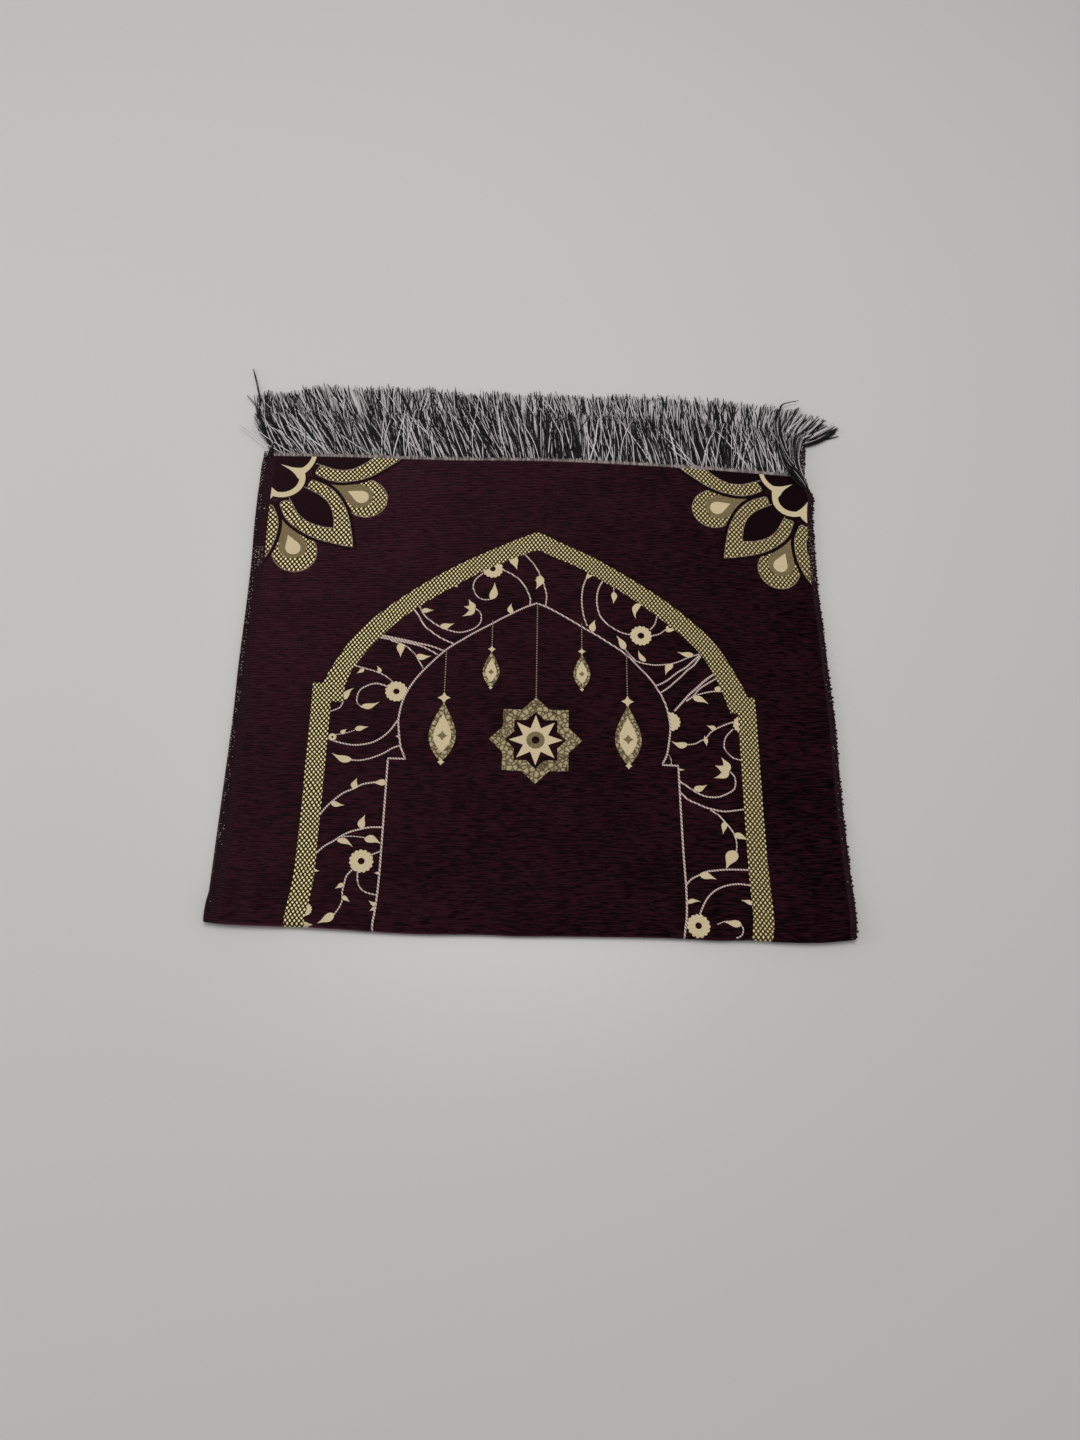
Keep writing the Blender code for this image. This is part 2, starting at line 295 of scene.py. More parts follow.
inner_arch = mirrored(through(INNER_ARCH[::-1])) + (INNER_MIDDLE, 0)
inner_line = np.vstack([line_side("left_line")[::-1], inner_arch, line_side("right_line")])


# Woven design: vine scrolls
# Between the arch and the inner outline run thin cream stems with small leaves, pointed buds
# and round flowers. The two sides differ, as woven.
STEMS = table("thick thin route", (
    # left of the middle, from the apex down
    (2, 1.8, ((-18, 454), (-6, 439), (1, 425), (6, 411), (9, 397), (8, 383))),
    (2, 1.8, ((-44, 431), (-31, 424), (-21, 415), (-14, 403), (-10, 391), (-11, 383))),
    (2, 1.6, ((-67, 425), (-75, 417), (-78, 408), (-76, 399), (-71, 392), (-64, 389), (-56, 390))),
    (2.2, 1.6, ((-141, 381), (-132, 366), (-122, 357), (-112, 351), (-102, 347), (-92, 345), (-82, 347),
     (-74, 351), (-68, 358), (-67, 366), (-69, 373), (-75, 377))),
    (2.2, 2, ((-145, 374), (-138, 363), (-132, 353), (-122, 344), (-110, 336), (-97, 330))),
    (3.2, 2, ((-182, 339), (-166, 336), (-151, 333), (-138, 330), (-124, 327), (-108, 321))),
    (2.4, 2, ((-182, 336), (-163, 333), (-144, 329), (-131, 325), (-115, 316))),
    (2, 1.6, ((-170, 333), (-154, 327), (-144, 319), (-138, 311), (-131, 298))),
    (1.8, 1.6, ((-210, 299), (-199, 296), (-187, 293), (-179, 290), (-170, 285), (-163, 278))),
    (2.2, 1.6, ((-170, 274), (-182, 277), (-192, 274), (-200, 268), (-203, 259), (-202, 251), (-196, 246))),
    (1.8, 1.6, ((-218, 253), (-221, 245), (-233, 239))),
    (2.2, 2, ((-156, 232), (-164, 219), (-174, 209), (-185, 203), (-200, 200), (-212, 201), (-225, 204))),
    (1.2, 1, ((-225, 211), (-212, 214), (-202, 218))),
    (2, 1.8, ((-151, 202), (-160, 198), (-170, 191), (-183, 185), (-194, 182), (-204, 182))),
    (2.2, 2, ((-176, 157), (-189, 154), (-199, 148), (-209, 143), (-219, 134), (-227, 125), (-235, 113))),
    (2.2, 2, ((-164, 106), (-178, 105), (-189, 102), (-198, 99), (-207, 94), (-216, 87), (-225, 81),
     (-235, 70))),
    (1.4, 1.1, ((-207, 93), (-194, 94), (-180, 93))),
    (1.8, 1.6, ((-175, 74), (-169, 77), (-163, 80))),
    (2, 1.5, ((-191, 59), (-198, 50), (-200, 40), (-201, 31), (-200, 24), (-202, 16), (-207, 7))),
    (1.8, 1.6, ((-187, 55), (-186, 44), (-182, 37), (-176, 33), (-165, 31))),
    # right of the middle, from the apex down
    (2, 1.8, ((57, 424), (53, 413), (51, 400), (51, 386), (53, 371), (57, 358))),
    (2.2, 1.8, ((78, 423), (72, 412), (69, 400), (69, 386), (72, 373), (79, 363), (89, 355), (99, 350),
     (109, 348))),
    (1.2, 1, ((89, 417), (89, 402))),
    (1.8, 1.5, ((131, 356), (137, 364), (140, 377))),
    (1.8, 1.5, ((133, 348), (142, 351), (149, 357))),
    (2, 1.6, ((100, 330), (106, 322), (114, 314), (125, 311), (135, 310), (145, 311), (155, 313), (165, 317),
     (174, 322), (188, 328))),
    (2.4, 2, ((189, 327), (179, 317), (171, 309), (161, 302), (150, 292), (141, 286), (134, 283))),
    (2.4, 2, ((189, 325), (181, 313), (173, 306), (166, 298), (158, 290), (150, 282), (141, 275))),
    (3, 2.4, ((207, 305), (194, 295), (183, 284), (173, 274), (165, 264), (156, 253))),
    (2.2, 1.8, ((209, 299), (198, 292), (186, 283), (178, 273), (170, 267))),
    (2, 1.6, ((216, 281), (207, 281), (198, 280), (188, 277), (179, 273), (170, 266))),
    (2, 1.6, ((223, 243), (213, 239), (203, 234), (196, 229), (190, 221), (184, 218), (178, 214),
     (168, 212))),
    (1.8, 1.6, ((222, 234), (214, 225), (211, 217), (211, 209), (216, 202), (221, 198), (230, 196))),
    (1.2, 1, ((145, 200), (148, 198), (150, 193), (150, 187))),
    (2.2, 1.8, ((158, 168), (167, 162), (176, 156), (185, 152), (194, 151), (203, 152), (212, 156),
     (219, 161), (221, 169), (220, 176), (215, 182))),
    (2.2, 2, ((159, 154), (168, 146), (176, 143), (185, 139), (194, 137), (203, 135), (212, 135),
     (230, 138))),
    (2, 1.6, ((191, 136), (199, 131), (207, 122), (213, 114), (217, 105), (218, 96), (217, 88))),
    (2.2, 2, ((160, 49), (167, 57), (174, 61), (183, 66), (194, 68), (203, 69), (216, 69), (230, 69))),
    (2, 2, ((173, 16), (177, 26), (183, 37), (192, 46), (203, 51), (216, 53), (230, 52))),
    (1.2, 1.6, ((192, 9), (199, 12), (209, 12), (217, 8), (219, 3), (217, -3), (211, -5))),
))
# a leaf, or a bud's petal, from its stalk to its tip: half its width and its bow are shares of its length
LEAVES = table("x y tip_x tip_y fat bow", (
    (-33, 451, -26.5, 431.5, 0.26, 0), (-56, 389.5, -53, 413, 0.2, -0.07),
    (-136.5, 373, -122.5, 374, 0.22, 0), (-114.5, 352, -98, 357, 0.23, -0.06),
    (-32, 371.5, -32, 385.5, 0.25, 0.12), (-158.5, 330, -157.5, 311.5, 0.24, 0),
    (-140, 314, -122.5, 314.5, 0.22, -0.1), (-197.5, 294.5, -205.5, 288.5, 0.24, 0),
    (-179, 290.5, -183.5, 299.5, 0.23, -0.06), (-197.5, 247.5, -177.5, 254.5, 0.17, -0.11),
    (-216.5, 255, -207, 270, 0.2, 0.15), (-202.5, 219, -187.5, 223, 0.2, 0),
    (-217.5, 213, -211.5, 219, 0.32, 0), (-203, 182, -225.5, 189.5, 0.18, 0.1),
    (-163, 157.5, -179, 156.5, 0.23, 0), (-198, 148, -195.5, 161, 0.28, 0.08),
    (-222, 131.5, -206.5, 129, 0.2, -0.07), (-187, 103, -183.5, 119, 0.25, 0.08),
    (-211.5, 89, -194, 82, 0.18, 0.12), (-182.5, 92, -164.5, 87, 0.24, 0.12),
    (-207, 8, -223.5, -3, 0.22, 0.04), (-200.5, 41, -209, 35, 0.24, 0), (-200.5, 27.5, -192, 21.5, 0.22, 0),
    (-233.5, 54, -227, 53.5, 0.22, 0), (-164, 55, -169.5, 55, 0.26, 0), (-165, 19.5, -173, 24.5, 0.22, 0),
    (-165, 17.5, -171, 13.5, 0.26, 0), (-240.5, -5.5, -227.5, -4, 0.22, 0),
    (-153, 212.5, -157, 213, 0.3, 0), (-75, 377, -82.5, 389.5, 0.24, 0.05), (-75, 377, -88, 379.5, 0.27, 0),
    (-75, 377, -89.5, 366.5, 0.2, 0.1), (-100, 409.5, -96, 405, 0.34, 0), (2, 424.5, -4, 405.5, 0.24, 0.08),
    (2, 422.5, -5, 417, 0.34, 0), (58.5, 422.5, 58, 431, 0.26, 0), (59, 425.5, 65, 427.5, 0.25, 0),
    (89, 405, 88, 389, 0.22, 0.05), (121, 391.5, 115, 369, 0.17, -0.2),
    (63, 350.5, 66.5, 366.5, 0.25, 0.08), (149, 356, 162.5, 358.5, 0.2, 0),
    (150.5, 358, 153, 363.5, 0.25, 0), (100.5, 328.5, 91, 346.5, 0.2, -0.06),
    (124.5, 314, 116.5, 328.5, 0.19, 0.11), (156, 313, 147.5, 297.5, 0.22, -0.12),
    (181, 326.5, 162, 329, 0.18, 0.08), (178, 271, 195.5, 264.5, 0.21, 0.1),
    (204.5, 281, 212.5, 289, 0.3, 0), (169.5, 212.5, 151, 216, 0.21, 0.16),
    (202.5, 233.5, 192, 237.5, 0.25, 0), (190, 222, 191, 212, 0.25, 0), (190, 219, 189, 225, 0.25, 0),
    (158.5, 181.5, 165, 181.5, 0.16, 0), (174, 159, 189, 165.5, 0.23, -0.08),
    (214.5, 182, 206.5, 199, 0.22, -0.06), (214.5, 182, 199, 189, 0.28, 0),
    (214.5, 182, 197, 174, 0.22, 0.08), (206.5, 123, 203.5, 108.5, 0.22, 0),
    (215.5, 108.5, 231.5, 102, 0.2, 0.05), (216.5, 90, 205, 69.5, 0.29, -0.05),
    (176, 62.5, 194, 58, 0.22, 0.06), (161, 30.5, 176, 32.5, 0.16, 0.12),
    (231.5, 31, 218.5, 35, 0.18, -0.06), (217.5, 8.5, 198.5, 12, 0.2, 0),
))
# the last number is the dark eye's share of the radius
FLOWERS = table("x y radius hole", (
    (-159.5, 268, 12.8, 0.29), (-184, 67, 13, 0.29), (-55.5, 431.5, 12.5, 0.29), (120, 347.5, 13, 0.32),
    (172, 6.5, 12.6, 0.29), (150.5, 239.5, 12, 0), (233, 240, 11, 0), (-237, 11, 7.1, 0),
    (-226.5, 208.5, 4.6, 0.3),
))
STEM_SHARE = 0.85           # the stems are woven thinner than they are drawn
STEM_SPACING = 3.5
PETALS = 15
# a leaf's half width, as a share of its widest, at shares of its length
LEAF_SHARES = np.array((0.0, 0.08, 0.20, 0.34, 0.48, 0.62, 0.76, 0.90, 1.0))
LEAF_HALVES = np.array((0.0, 0.58, 0.92, 1.0, 0.86, 0.56, 0.28, 0.12, 0.0))


def turned(points, x, y, turn):
    """Points drawn along +X, turned by some degrees and moved to x, y."""
    turn = math.radians(turn)
    spin = np.array(((math.cos(turn), math.sin(turn)), (-math.sin(turn), math.cos(turn))))
    return np.asarray(points, float) @ spin + (x, y)


def leaf_outline(leaf):
    """A fat little leaf that draws out to a thin hooked tip."""
    span = np.array((leaf.tip_x - leaf.x, leaf.tip_y - leaf.y))
    length = np.linalg.norm(span)
    half = leaf.fat * length * LEAF_HALVES
    bow = 4 * leaf.bow * length * LEAF_SHARES * (1 - LEAF_SHARES)
    upper = np.stack([length * LEAF_SHARES, bow + half], axis=1)
    lower = np.stack([length * LEAF_SHARES, bow - half], axis=1)
    outline = np.vstack([upper, lower[-2:0:-1]])
    return turned(outline, leaf.x, leaf.y, math.degrees(math.atan2(span[1], span[0])))


def flower_outline(radius):
    angle = np.linspace(0, math.tau, 4 * PETALS, endpoint=False)
    reach = radius * (0.88 + 0.12 * np.abs(np.cos(angle * PETALS / 2)) ** 0.8)
    return np.stack([reach * np.cos(angle), reach * np.sin(angle)], axis=1)


def circle(radius, corners=16):
    angle = np.linspace(0, math.tau, corners, endpoint=False)
    return np.stack([radius * np.cos(angle), radius * np.sin(angle)], axis=1)


for stem in STEMS:
    route = through(stem.route, STEM_SPACING)
    paint(ribbon(route, stem.thick * STEM_SHARE, stem.thin * STEM_SHARE), "stem", 0)
for leaf in LEAVES:
    paint(leaf_outline(leaf), "cream", 0)
for flower in FLOWERS:
    paint(flower_outline(flower.radius) + (flower.x, flower.y), "cream", 0)
    if flower.hole:
        paint(circle(flower.radius * flower.hole, 10) + (flower.x, flower.y), "pile", 0)

# The niche inside the line, the line itself and the gold band are woven over the vines' ends.
paint(inner_line, "pile", 0)
paint(ribbon(inner_line, LINE_WIDTH), "stem", 0)
paint(ribbon(inner_line[[-1, 0]], LINE_WIDTH), "stem", 0)
paint(arch_band, "gold", 0)


# Woven design: the niche
# Under the arch hang small ornaments of a plain, generic kind: an eight-pointed star on a chain
# with two short and two long drop pendants beside it, in cream and muted gold.
PENDANTS = table("x top hook width height", (
    (-104, 322, 262, 30, 74),
    (-52, 362, 324, 19, 46),
    (52, 362, 324, 19, 46),
    (104, 322, 262, 30, 74),
))
STAR = (0, 212)
STAR_TOP = 386              # where its chain begins
STAR_RADIUS = 52
CHAIN_WIDTH = 1.2


def star_outline(radius, points, waist):
    """A star whose inner corners lie at a share of its radius."""
    angle = math.pi / 2 + np.arange(2 * points) * math.pi / points
    reach = np.where(np.arange(2 * points) % 2 == 0, radius, radius * waist)
    return np.stack([reach * np.cos(angle), reach * np.sin(angle)], axis=1)


def drop_outline(width, height):
    """A drop hanging from the origin, pointed above and below, widest under its middle."""
    share = np.linspace(0, 1, 13)
    half = width / 2 * np.sin(math.pi * share ** 1.25) ** 0.9
    right = np.stack([half, -height * share], axis=1)
    return np.vstack([right, right[-2:0:-1] * (-1, 1)])


def chain(x, top, bottom):
    paint(ribbon(((x, top), (x, bottom)), CHAIN_WIDTH), "chain")


for pendant in PENDANTS:
    x, width, height = pendant.x, pendant.width, pendant.height
    neck = pendant.hook - width * 0.15
    inner = neck - height * 0.20
    chain(x, pendant.top, pendant.hook)
    paint(star_outline(width * 0.24, 4, 0.5) + (x, pendant.hook), "cream")
    paint(drop_outline(width, height) + (x, neck), "filigree")
    paint(drop_outline(width * 0.66, height * 0.64) + (x, inner), "cream")
    paint(star_outline(width * 0.20, 4, 0.55) + (x, inner - height * 0.37), "olive")
    paint(star_outline(width * 0.13, 4, 0.6) + (x, neck - height), "cream")
chain(0, STAR_TOP, STAR[1] + STAR_RADIUS)
paint(star_outline(STAR_RADIUS, 8, 0.765) + STAR, "filigree")
paint(star_outline(STAR_RADIUS * 0.66, 8, 0.765) + STAR, "pile")
paint(star_outline(STAR_RADIUS * 0.58, 8, 0.50) + STAR, "cream")
paint(circle(STAR_RADIUS * 0.20) + STAR, "olive")
paint(circle(STAR_RADIUS * 0.09, 10) + STAR, "pile")


# Woven design: corner rosettes
# A quarter of a large round rosette fills each corner: a cream scalloped ring with a horn between
# the scallops, pointed petals drawn as an open gold band, and drops of gold, olive and cream
# between them. The cloth's edges cut it off.
ROSETTE_X = 346.4
# side of the rug, the rosette's middle along it, where the rug's middle lies, and the weave's lean
CORNERS = table("side y up lean", (
    (-1, 593, -1, 0.04),
    (1, 593, -1, 0.018),
    (-1, -622, 1, 0),
    (1, -622, 1, 0),
))
ROSETTE_LONG = 1.057        # along the rug it is a little longer than across
ROSETTE_MOAT = 4.2          # the sunken border round its petals
ROSETTE_MIDDLE = 1.0        # the corners' own middle line lies this far to the right of the cloth's
RIM = 1.2                   # a gold figure's edge of paler threads
MOAT = 2.2                  # the sunken border round the ring
LEAN_EASE = 40.0            # the lean sets in over this distance from the rosette's own axes
PLAIN_LEFT = 324.2          # the design stops here, and the cloth goes on plain to its edge
PLAIN_RIGHT = 332.0
PLAIN_REACH = 40            # how far past the cloth's edges the plain stretches are drawn
EIGHTH = 45                 # degrees from one scallop or petal to the next
SCALLOP_HOLE = 20.0         # the rest are millimetres from the rosette's middle, and radii
RING_HOLE = 45.0
HORN_TURN = 24.0            # the horns stand this many degrees on from the scallops
Scallop = namedtuple("Scallop", "turn reach radius hole_reach")
SCALLOPS = [Scallop(turn, 38.0, 31.0, 43.3) if turn % 180 == 0 else Scallop(turn, 45.5, 27.0, 45.2)
            for turn in range(0, 360, EIGHTH)]
# half outlines, as distances from the rosette's middle and half widths there
HORN = ((31, 0), (38, 1.0), (45, 2.1), (50, 3.6), (54, 5.4), (58, 7.8), (62, 9.0))
PETAL_OUTSIDE = ((77, 0), (76, 10), (70, 23), (78, 28.6), (90, 33.0), (103, 33.8), (120, 31.0), (137, 24.6),
                 (150, 16.8), (163, 8.3), (174, 0))
PETAL_INSIDE = ((58, 0), (64, 7.5), (74, 11.5), (84, 14.6), (93, 17.3), (103, 18.0), (111, 17.0),
                (120, 13.4), (129.5, 7.6), (138.5, 0))
DROPS = table("tip end half_width weave", (
    (98, 170.5, 26.8, "olive"),
    (117, 170.5, 26.8, "corner gold"),
    (98, 152.5, 16.5, "olive"),
    (120, 147, 8.8, "cream"),
))


def box(left, bottom, right, top):
    return ((left, bottom), (right, bottom), (right, top), (left, top))


def grown(outline, by):
    """An outline moved out by some millimetres all round, or in where by is negative."""
    outline = np.asarray(outline, float)
    ahead = np.roll(outline, -1, axis=0) - np.roll(outline, 1, axis=0)
    ahead /= np.linalg.norm(ahead, axis=1, keepdims=True)
    x, y = outline[:, 0], outline[:, 1]
    turns_left = np.sum(x * np.roll(y, -1) - np.roll(x, -1) * y) > 0
    outwards = np.stack([ahead[:, 1], -ahead[:, 0]], axis=1) * (1 if turns_left else -1)
    return outline + outwards * by


def closed_shape(stations, spacing=2.5):
    """The outline whose half is a smooth line through some points along +X."""
    half = through(stations, spacing)
    half[:, 1] = np.maximum(half[:, 1], 0)
    return np.vstack([half, half[-2:0:-1] * (1, -1)])


def teardrop(tip, end, half_width):
    """A round drop whose sides run straight to a tip on +X's near side."""
    middle = end - half_width
    opening = math.acos(min(1.0, half_width / (middle - tip)))
    angle = np.linspace(math.pi - opening, opening - math.pi, 22)
    arc = np.stack([middle + half_width * np.cos(angle), half_width * np.sin(angle)], axis=1)
    return np.vstack([[(tip, 0.0)], arc])


def rosette(corner):
    """One corner's rosette, drawn as a whole round figure that the cloth's edges cut off."""
    def draw(points, turn, weave):
        spread = turned(points, 0, 0, turn)
        spread[:, 1] += corner.lean * spread[:, 0] * smooth(np.abs(spread[:, 1]) / LEAN_EASE)
        spread = spread * (-corner.side, corner.up * ROSETTE_LONG) + (corner.side * ROSETTE_X, corner.y)
        paint(spread, weave, ROSETTE_MIDDLE)

    turns = np.arange(0, 360, EIGHTH)
    for turn in turns + EIGHTH / 2:
        for drop in DROPS:
            outline = teardrop(drop.tip, drop.end, drop.half_width)
            if drop.weave == "corner gold":
                draw(outline, turn, "rim")
                outline = grown(outline, -RIM)
            draw(outline, turn, drop.weave)
    petal, opening = closed_shape(PETAL_OUTSIDE), closed_shape(PETAL_INSIDE)
    for turn in turns:
        # painted shade: a darker band of ground round each petal
        draw(grown(petal, ROSETTE_MOAT), turn, "moat")
    for turn in turns:
        draw(petal, turn, "rim")
        draw(grown(petal, -RIM), turn, "corner gold")
        draw(grown(opening, RIM), turn, "rim")
        draw(opening, turn, "moat")

    around = circle(1.0, 128)
    reach = np.zeros(len(around))
    for scallop in SCALLOPS:
        off = np.arctan2(around[:, 1], around[:, 0]) - math.radians(scallop.turn)
        aside = scallop.reach * np.sin(off)
        far = scallop.reach * np.cos(off) + np.sqrt(np.maximum(0, scallop.radius ** 2 - aside ** 2))
        reach = np.maximum(reach, np.where(np.abs(aside) < scallop.radius, far, 0))
    ring = around * reach[:, None]
    # painted shade: a darker band of ground round the ring; the same dark ground fills its holes
    draw(grown(ring, MOAT), 0, "moat")
    draw(ring, 0, "cream")
    draw(circle(RING_HOLE, 40), 0, "moat")
    for scallop in SCALLOPS:
        draw(circle(SCALLOP_HOLE, 28) + (scallop.hole_reach, 0), scallop.turn, "moat")
    for scallop in SCALLOPS:
        draw(closed_shape(HORN), scallop.turn + HORN_TURN, "cream")


for corner in CORNERS:
    rosette(corner)
bottom, top = -1000.0 * LOWER_LENGTH - PLAIN_REACH, 1000.0 * UPPER_LENGTH + PLAIN_REACH
paint(box(-PLAIN_LEFT - PLAIN_REACH, bottom, -PLAIN_LEFT, top), "selvage", 0)
paint(box(PLAIN_RIGHT, bottom, PLAIN_RIGHT + PLAIN_REACH, top), "selvage", 0)

# Where the design stops, loose ends of its pale weft cross the plain edge in short dashes.
FLOATS = table("start end low high pitch dash", (
    (-335.5, -325.5, 427, 459, 3.6, 2.3),
    (-336, -328, 512, 521, 3.2, 2.8),
    (329, 340, 438, 462, 3.8, 2.4),
    (331.5, 340, 462, 532, 5.4, 2.4),
))
FLOAT_HEIGHT = 1.4
FLOAT_PITCH = 1.45          # from one dash to the next, in dashes
FLOAT_SHARE = 0.66          # of the dashes show
FLOAT_STRAY = 0.4
chance = np.random.default_rng(7)
for floats in FLOATS:
    for row in np.arange(floats.low, floats.high, floats.pitch):
        for start in np.arange(floats.start, floats.end - floats.dash / 2, floats.dash * FLOAT_PITCH):
            left, low = start + chance.normal(0, FLOAT_STRAY), row + chance.normal(0, FLOAT_STRAY)
            if chance.random() < FLOAT_SHARE:
                right = left + floats.dash * chance.uniform(0.6, 1.0)
                paint(box(left, low, right, low + FLOAT_HEIGHT), "rim", 0)


# Woven cloth
# One jacquard cloth: aubergine chenille weft for the ground, flat gold, olive and cream weaves
# for the design, and a plain reverse. It is one closed thin sheet, cut along the design.
GRID = 0.0070               # spacing of the points between the outlines
CLEAR = 0.0020              # grid points keep this far from an outline's points
NEAR = 0.020                # outlines that lie further than this off the cloth are left out
BEND_ROWS = np.arange(-0.0096, 0.0100, 0.0012)
BACK_GRID = 0.014
BACK_MARGIN = 0.004         # the reverse's grid keeps this far from the cloth's edges
RECESS = 0.00030            # the flat weaves lie this much lower than the pile
HEM_PINCH = 0.0045          # the overlocked margin
HEM_DROP = 0.00040          # and how much thinner each face is there
CREASE_ANGLE = 50           # degrees, above which an edge of the mesh is sharp
WEAVES = ("pile", "selvage", "moat", "rim", "gold", "corner gold", "cream", "stem", "olive", "filigree",
          "chain", "reverse")


def inside(outline, points):
    """Which points an outline holds, by counting crossings to the right of each."""
    found = np.zeros(len(points), bool)
    low, high = outline.min(axis=0), outline.max(axis=0)
    near = np.flatnonzero(((points >= low) & (points <= high)).all(axis=1))
    x, y = points[near, 0][:, None], points[near, 1][:, None]
    x1, y1 = outline[:, 0], outline[:, 1]
    x2, y2 = np.roll(x1, -1), np.roll(y1, -1)
    rise = np.where(y2 == y1, 1e-12, y2 - y1)
    crosses = ((y1 > y) != (y2 > y)) & (x < (x2 - x1) * (y - y1) / rise + x1)
    found[near] = crosses.sum(axis=1) % 2 == 1
    return found


def triangulate(points, edges):
    result = geometry.delaunay_2d_cdt([Vector(point) for point in points], edges, [], 0, 1e-6)
    return np.array([tuple(point) for point in result[0]]), np.array(result[2])


def grid_points(spacing, rows=()):
    columns = np.linspace(-WIDTH / 2, WIDTH / 2, int(round(WIDTH / spacing)) + 1)
    count = int(round((UPPER_LENGTH + LOWER_LENGTH) / spacing))
    lines = np.linspace(-LOWER_LENGTH, UPPER_LENGTH, count + 1)
    if len(rows):
        before, after = lines < rows[0] - spacing / 2, lines > rows[-1] + spacing / 2
        lines = np.concatenate([lines[before | after], rows])
    return np.stack(np.meshgrid(columns, np.sort(lines)), axis=-1).reshape(-1, 2)


def far_from(points, others, gap):
    """The points that have none of the others within a gap, found on a grid of cells."""
    cell = {}
    for x, y in others:
        cell.setdefault((int(x // gap), int(y // gap)), []).append((x, y))
    kept = []
    for x, y in points:
        i, j = int(x // gap), int(y // gap)
        close = (near for a in (-1, 0, 1) for b in (-1, 0, 1) for near in cell.get((i + a, j + b), ()))
        if all((x - near[0]) ** 2 + (y - near[1]) ** 2 > gap * gap for near in close):
            kept.append((x, y))
    return np.array(kept)


def stepped(outline):
    """An outline with points added along its long sides, close together where it crosses the fold."""
    rows = np.concatenate([np.arange(-LOWER_LENGTH, BEND_ROWS[0], GRID / 2), BEND_ROWS,
                           np.arange(BEND_ROWS[-1] + GRID / 2, UPPER_LENGTH, GRID / 2)])
    stepped_points = []
    for start, end in zip(outline, np.roll(outline, -1, axis=0)):
        span = end - start
        shares = np.linspace(0, 1, max(1, int(np.linalg.norm(span) / (GRID / 2))) + 1)[:-1]
        if abs(span[1]) > GRID:
            crossed = (rows - start[1]) / span[1]
            shares = np.concatenate([[0.0], np.sort(crossed[(crossed > 0.001) & (crossed < 0.999)])])
        stepped_points.extend(start + span * share for share in shares)
    return np.array(stepped_points)


def border_of(triangles):
    """The directed edges that only one triangle has."""
    edges = {}
    for a, b, c in triangles.tolist():
        for pair in ((a, b), (b, c), (c, a)):
            edges[pair] = True
    return [pair for pair in edges if (pair[1], pair[0]) not in edges]


def cut_cloth():
    """The face of the cloth as flat points and triangles, with each triangle's weave."""
    points, edges = [], []

    def add_loop(outline):
        outline = stepped(outline)
        first = len(points)
        points.extend(outline)
        edges.extend((first + i, first + (i + 1) % len(outline)) for i in range(len(outline)))

    low, high = np.array((-WIDTH / 2, -LOWER_LENGTH)), np.array((WIDTH / 2, UPPER_LENGTH))
    add_loop(np.array(box(*low, *high)))
    for outline, weave in design:
        if (outline.max(axis=0) > low - NEAR).all() and (outline.min(axis=0) < high + NEAR).all():
            add_loop(outline)
    filler = far_from(grid_points(GRID, BEND_ROWS), points, CLEAR)
    flat, triangles = triangulate(np.vstack([np.array(points), filler]), edges)
    middle = flat[triangles].mean(axis=1)
    within = ((middle > low) & (middle < high)).all(axis=1)
    triangles, middle = triangles[within], middle[within]
    weave_of = np.zeros(len(triangles), int)
    for outline, weave in design:
        weave_of[inside(outline, middle)] = WEAVES.index(weave)
    used, renumbered = np.unique(triangles, return_inverse=True)
    return flat[used], renumbered.reshape(-1, 3), weave_of


def thinner(flat):
    """How much thinner each face of the cloth is, near its long edges."""
    return HEM_DROP * (1 - smooth((WIDTH / 2 - np.abs(flat[:, 0])) / HEM_PINCH))


def make_cloth():
    flat, triangles, weave_of = cut_cloth()
    border = border_of(triangles)
    rim = sorted({index for pair in border for index in pair})
    back_number = {index: number for number, index in enumerate(rim)}
    inner = grid_points(BACK_GRID, BEND_ROWS)
    inner = inner[(np.abs(inner[:, 0]) < WIDTH / 2 - BACK_MARGIN)
                  & (inner[:, 1] > -LOWER_LENGTH + BACK_MARGIN) & (inner[:, 1] < UPPER_LENGTH - BACK_MARGIN)]
    back_edges = [(back_number[a], back_number[b]) for a, b in border]
    back_flat, back_triangles = triangulate(np.vstack([flat[rim], inner]), back_edges)

    in_pile = np.zeros(len(flat), bool)
    in_pile[triangles[weave_of == 0]] = True
    rise = THICKNESS / 2 - np.where(in_pile, 0.0, RECESS) - thinner(flat)
    face = skin(flat[:, 0], flat[:, 1], rise)
    back = skin(back_flat[:, 0], back_flat[:, 1], thinner(back_flat) - THICKNESS / 2)

    start = len(flat)
    faces = triangles.tolist()
    weaves = weave_of.tolist()
    faces += [(start + a, start + c, start + b) for a, b, c in back_triangles.tolist()]
    faces += [(b, a, start + back_number[a], start + back_number[b]) for a, b in border]
    weaves += [WEAVES.index("reverse")] * (len(back_triangles) + len(border))
    mesh = bpy.data.meshes.new("cloth")
    mesh.from_pydata(np.vstack([face, back]).tolist(), [], faces)
    for weave in WEAVES:
        mesh.materials.append(weave_finish[weave].material)
    mesh.polygons.foreach_set("material_index", weaves)
    corners = np.zeros(len(mesh.loops), int)
    mesh.loops.foreach_get("vertex_index", corners)
    layer = mesh.uv_layers.new(name="Flat")
    layer.data.foreach_set("uv", np.vstack([flat, back_flat])[corners].astype(np.float32).ravel())
    mesh.polygons.foreach_set("use_smooth", [True] * len(mesh.polygons))
    mesh.set_sharp_from_angle(angle=math.radians(CREASE_ANGLE))
    mesh.validate()
    return add_object("cloth", mesh)


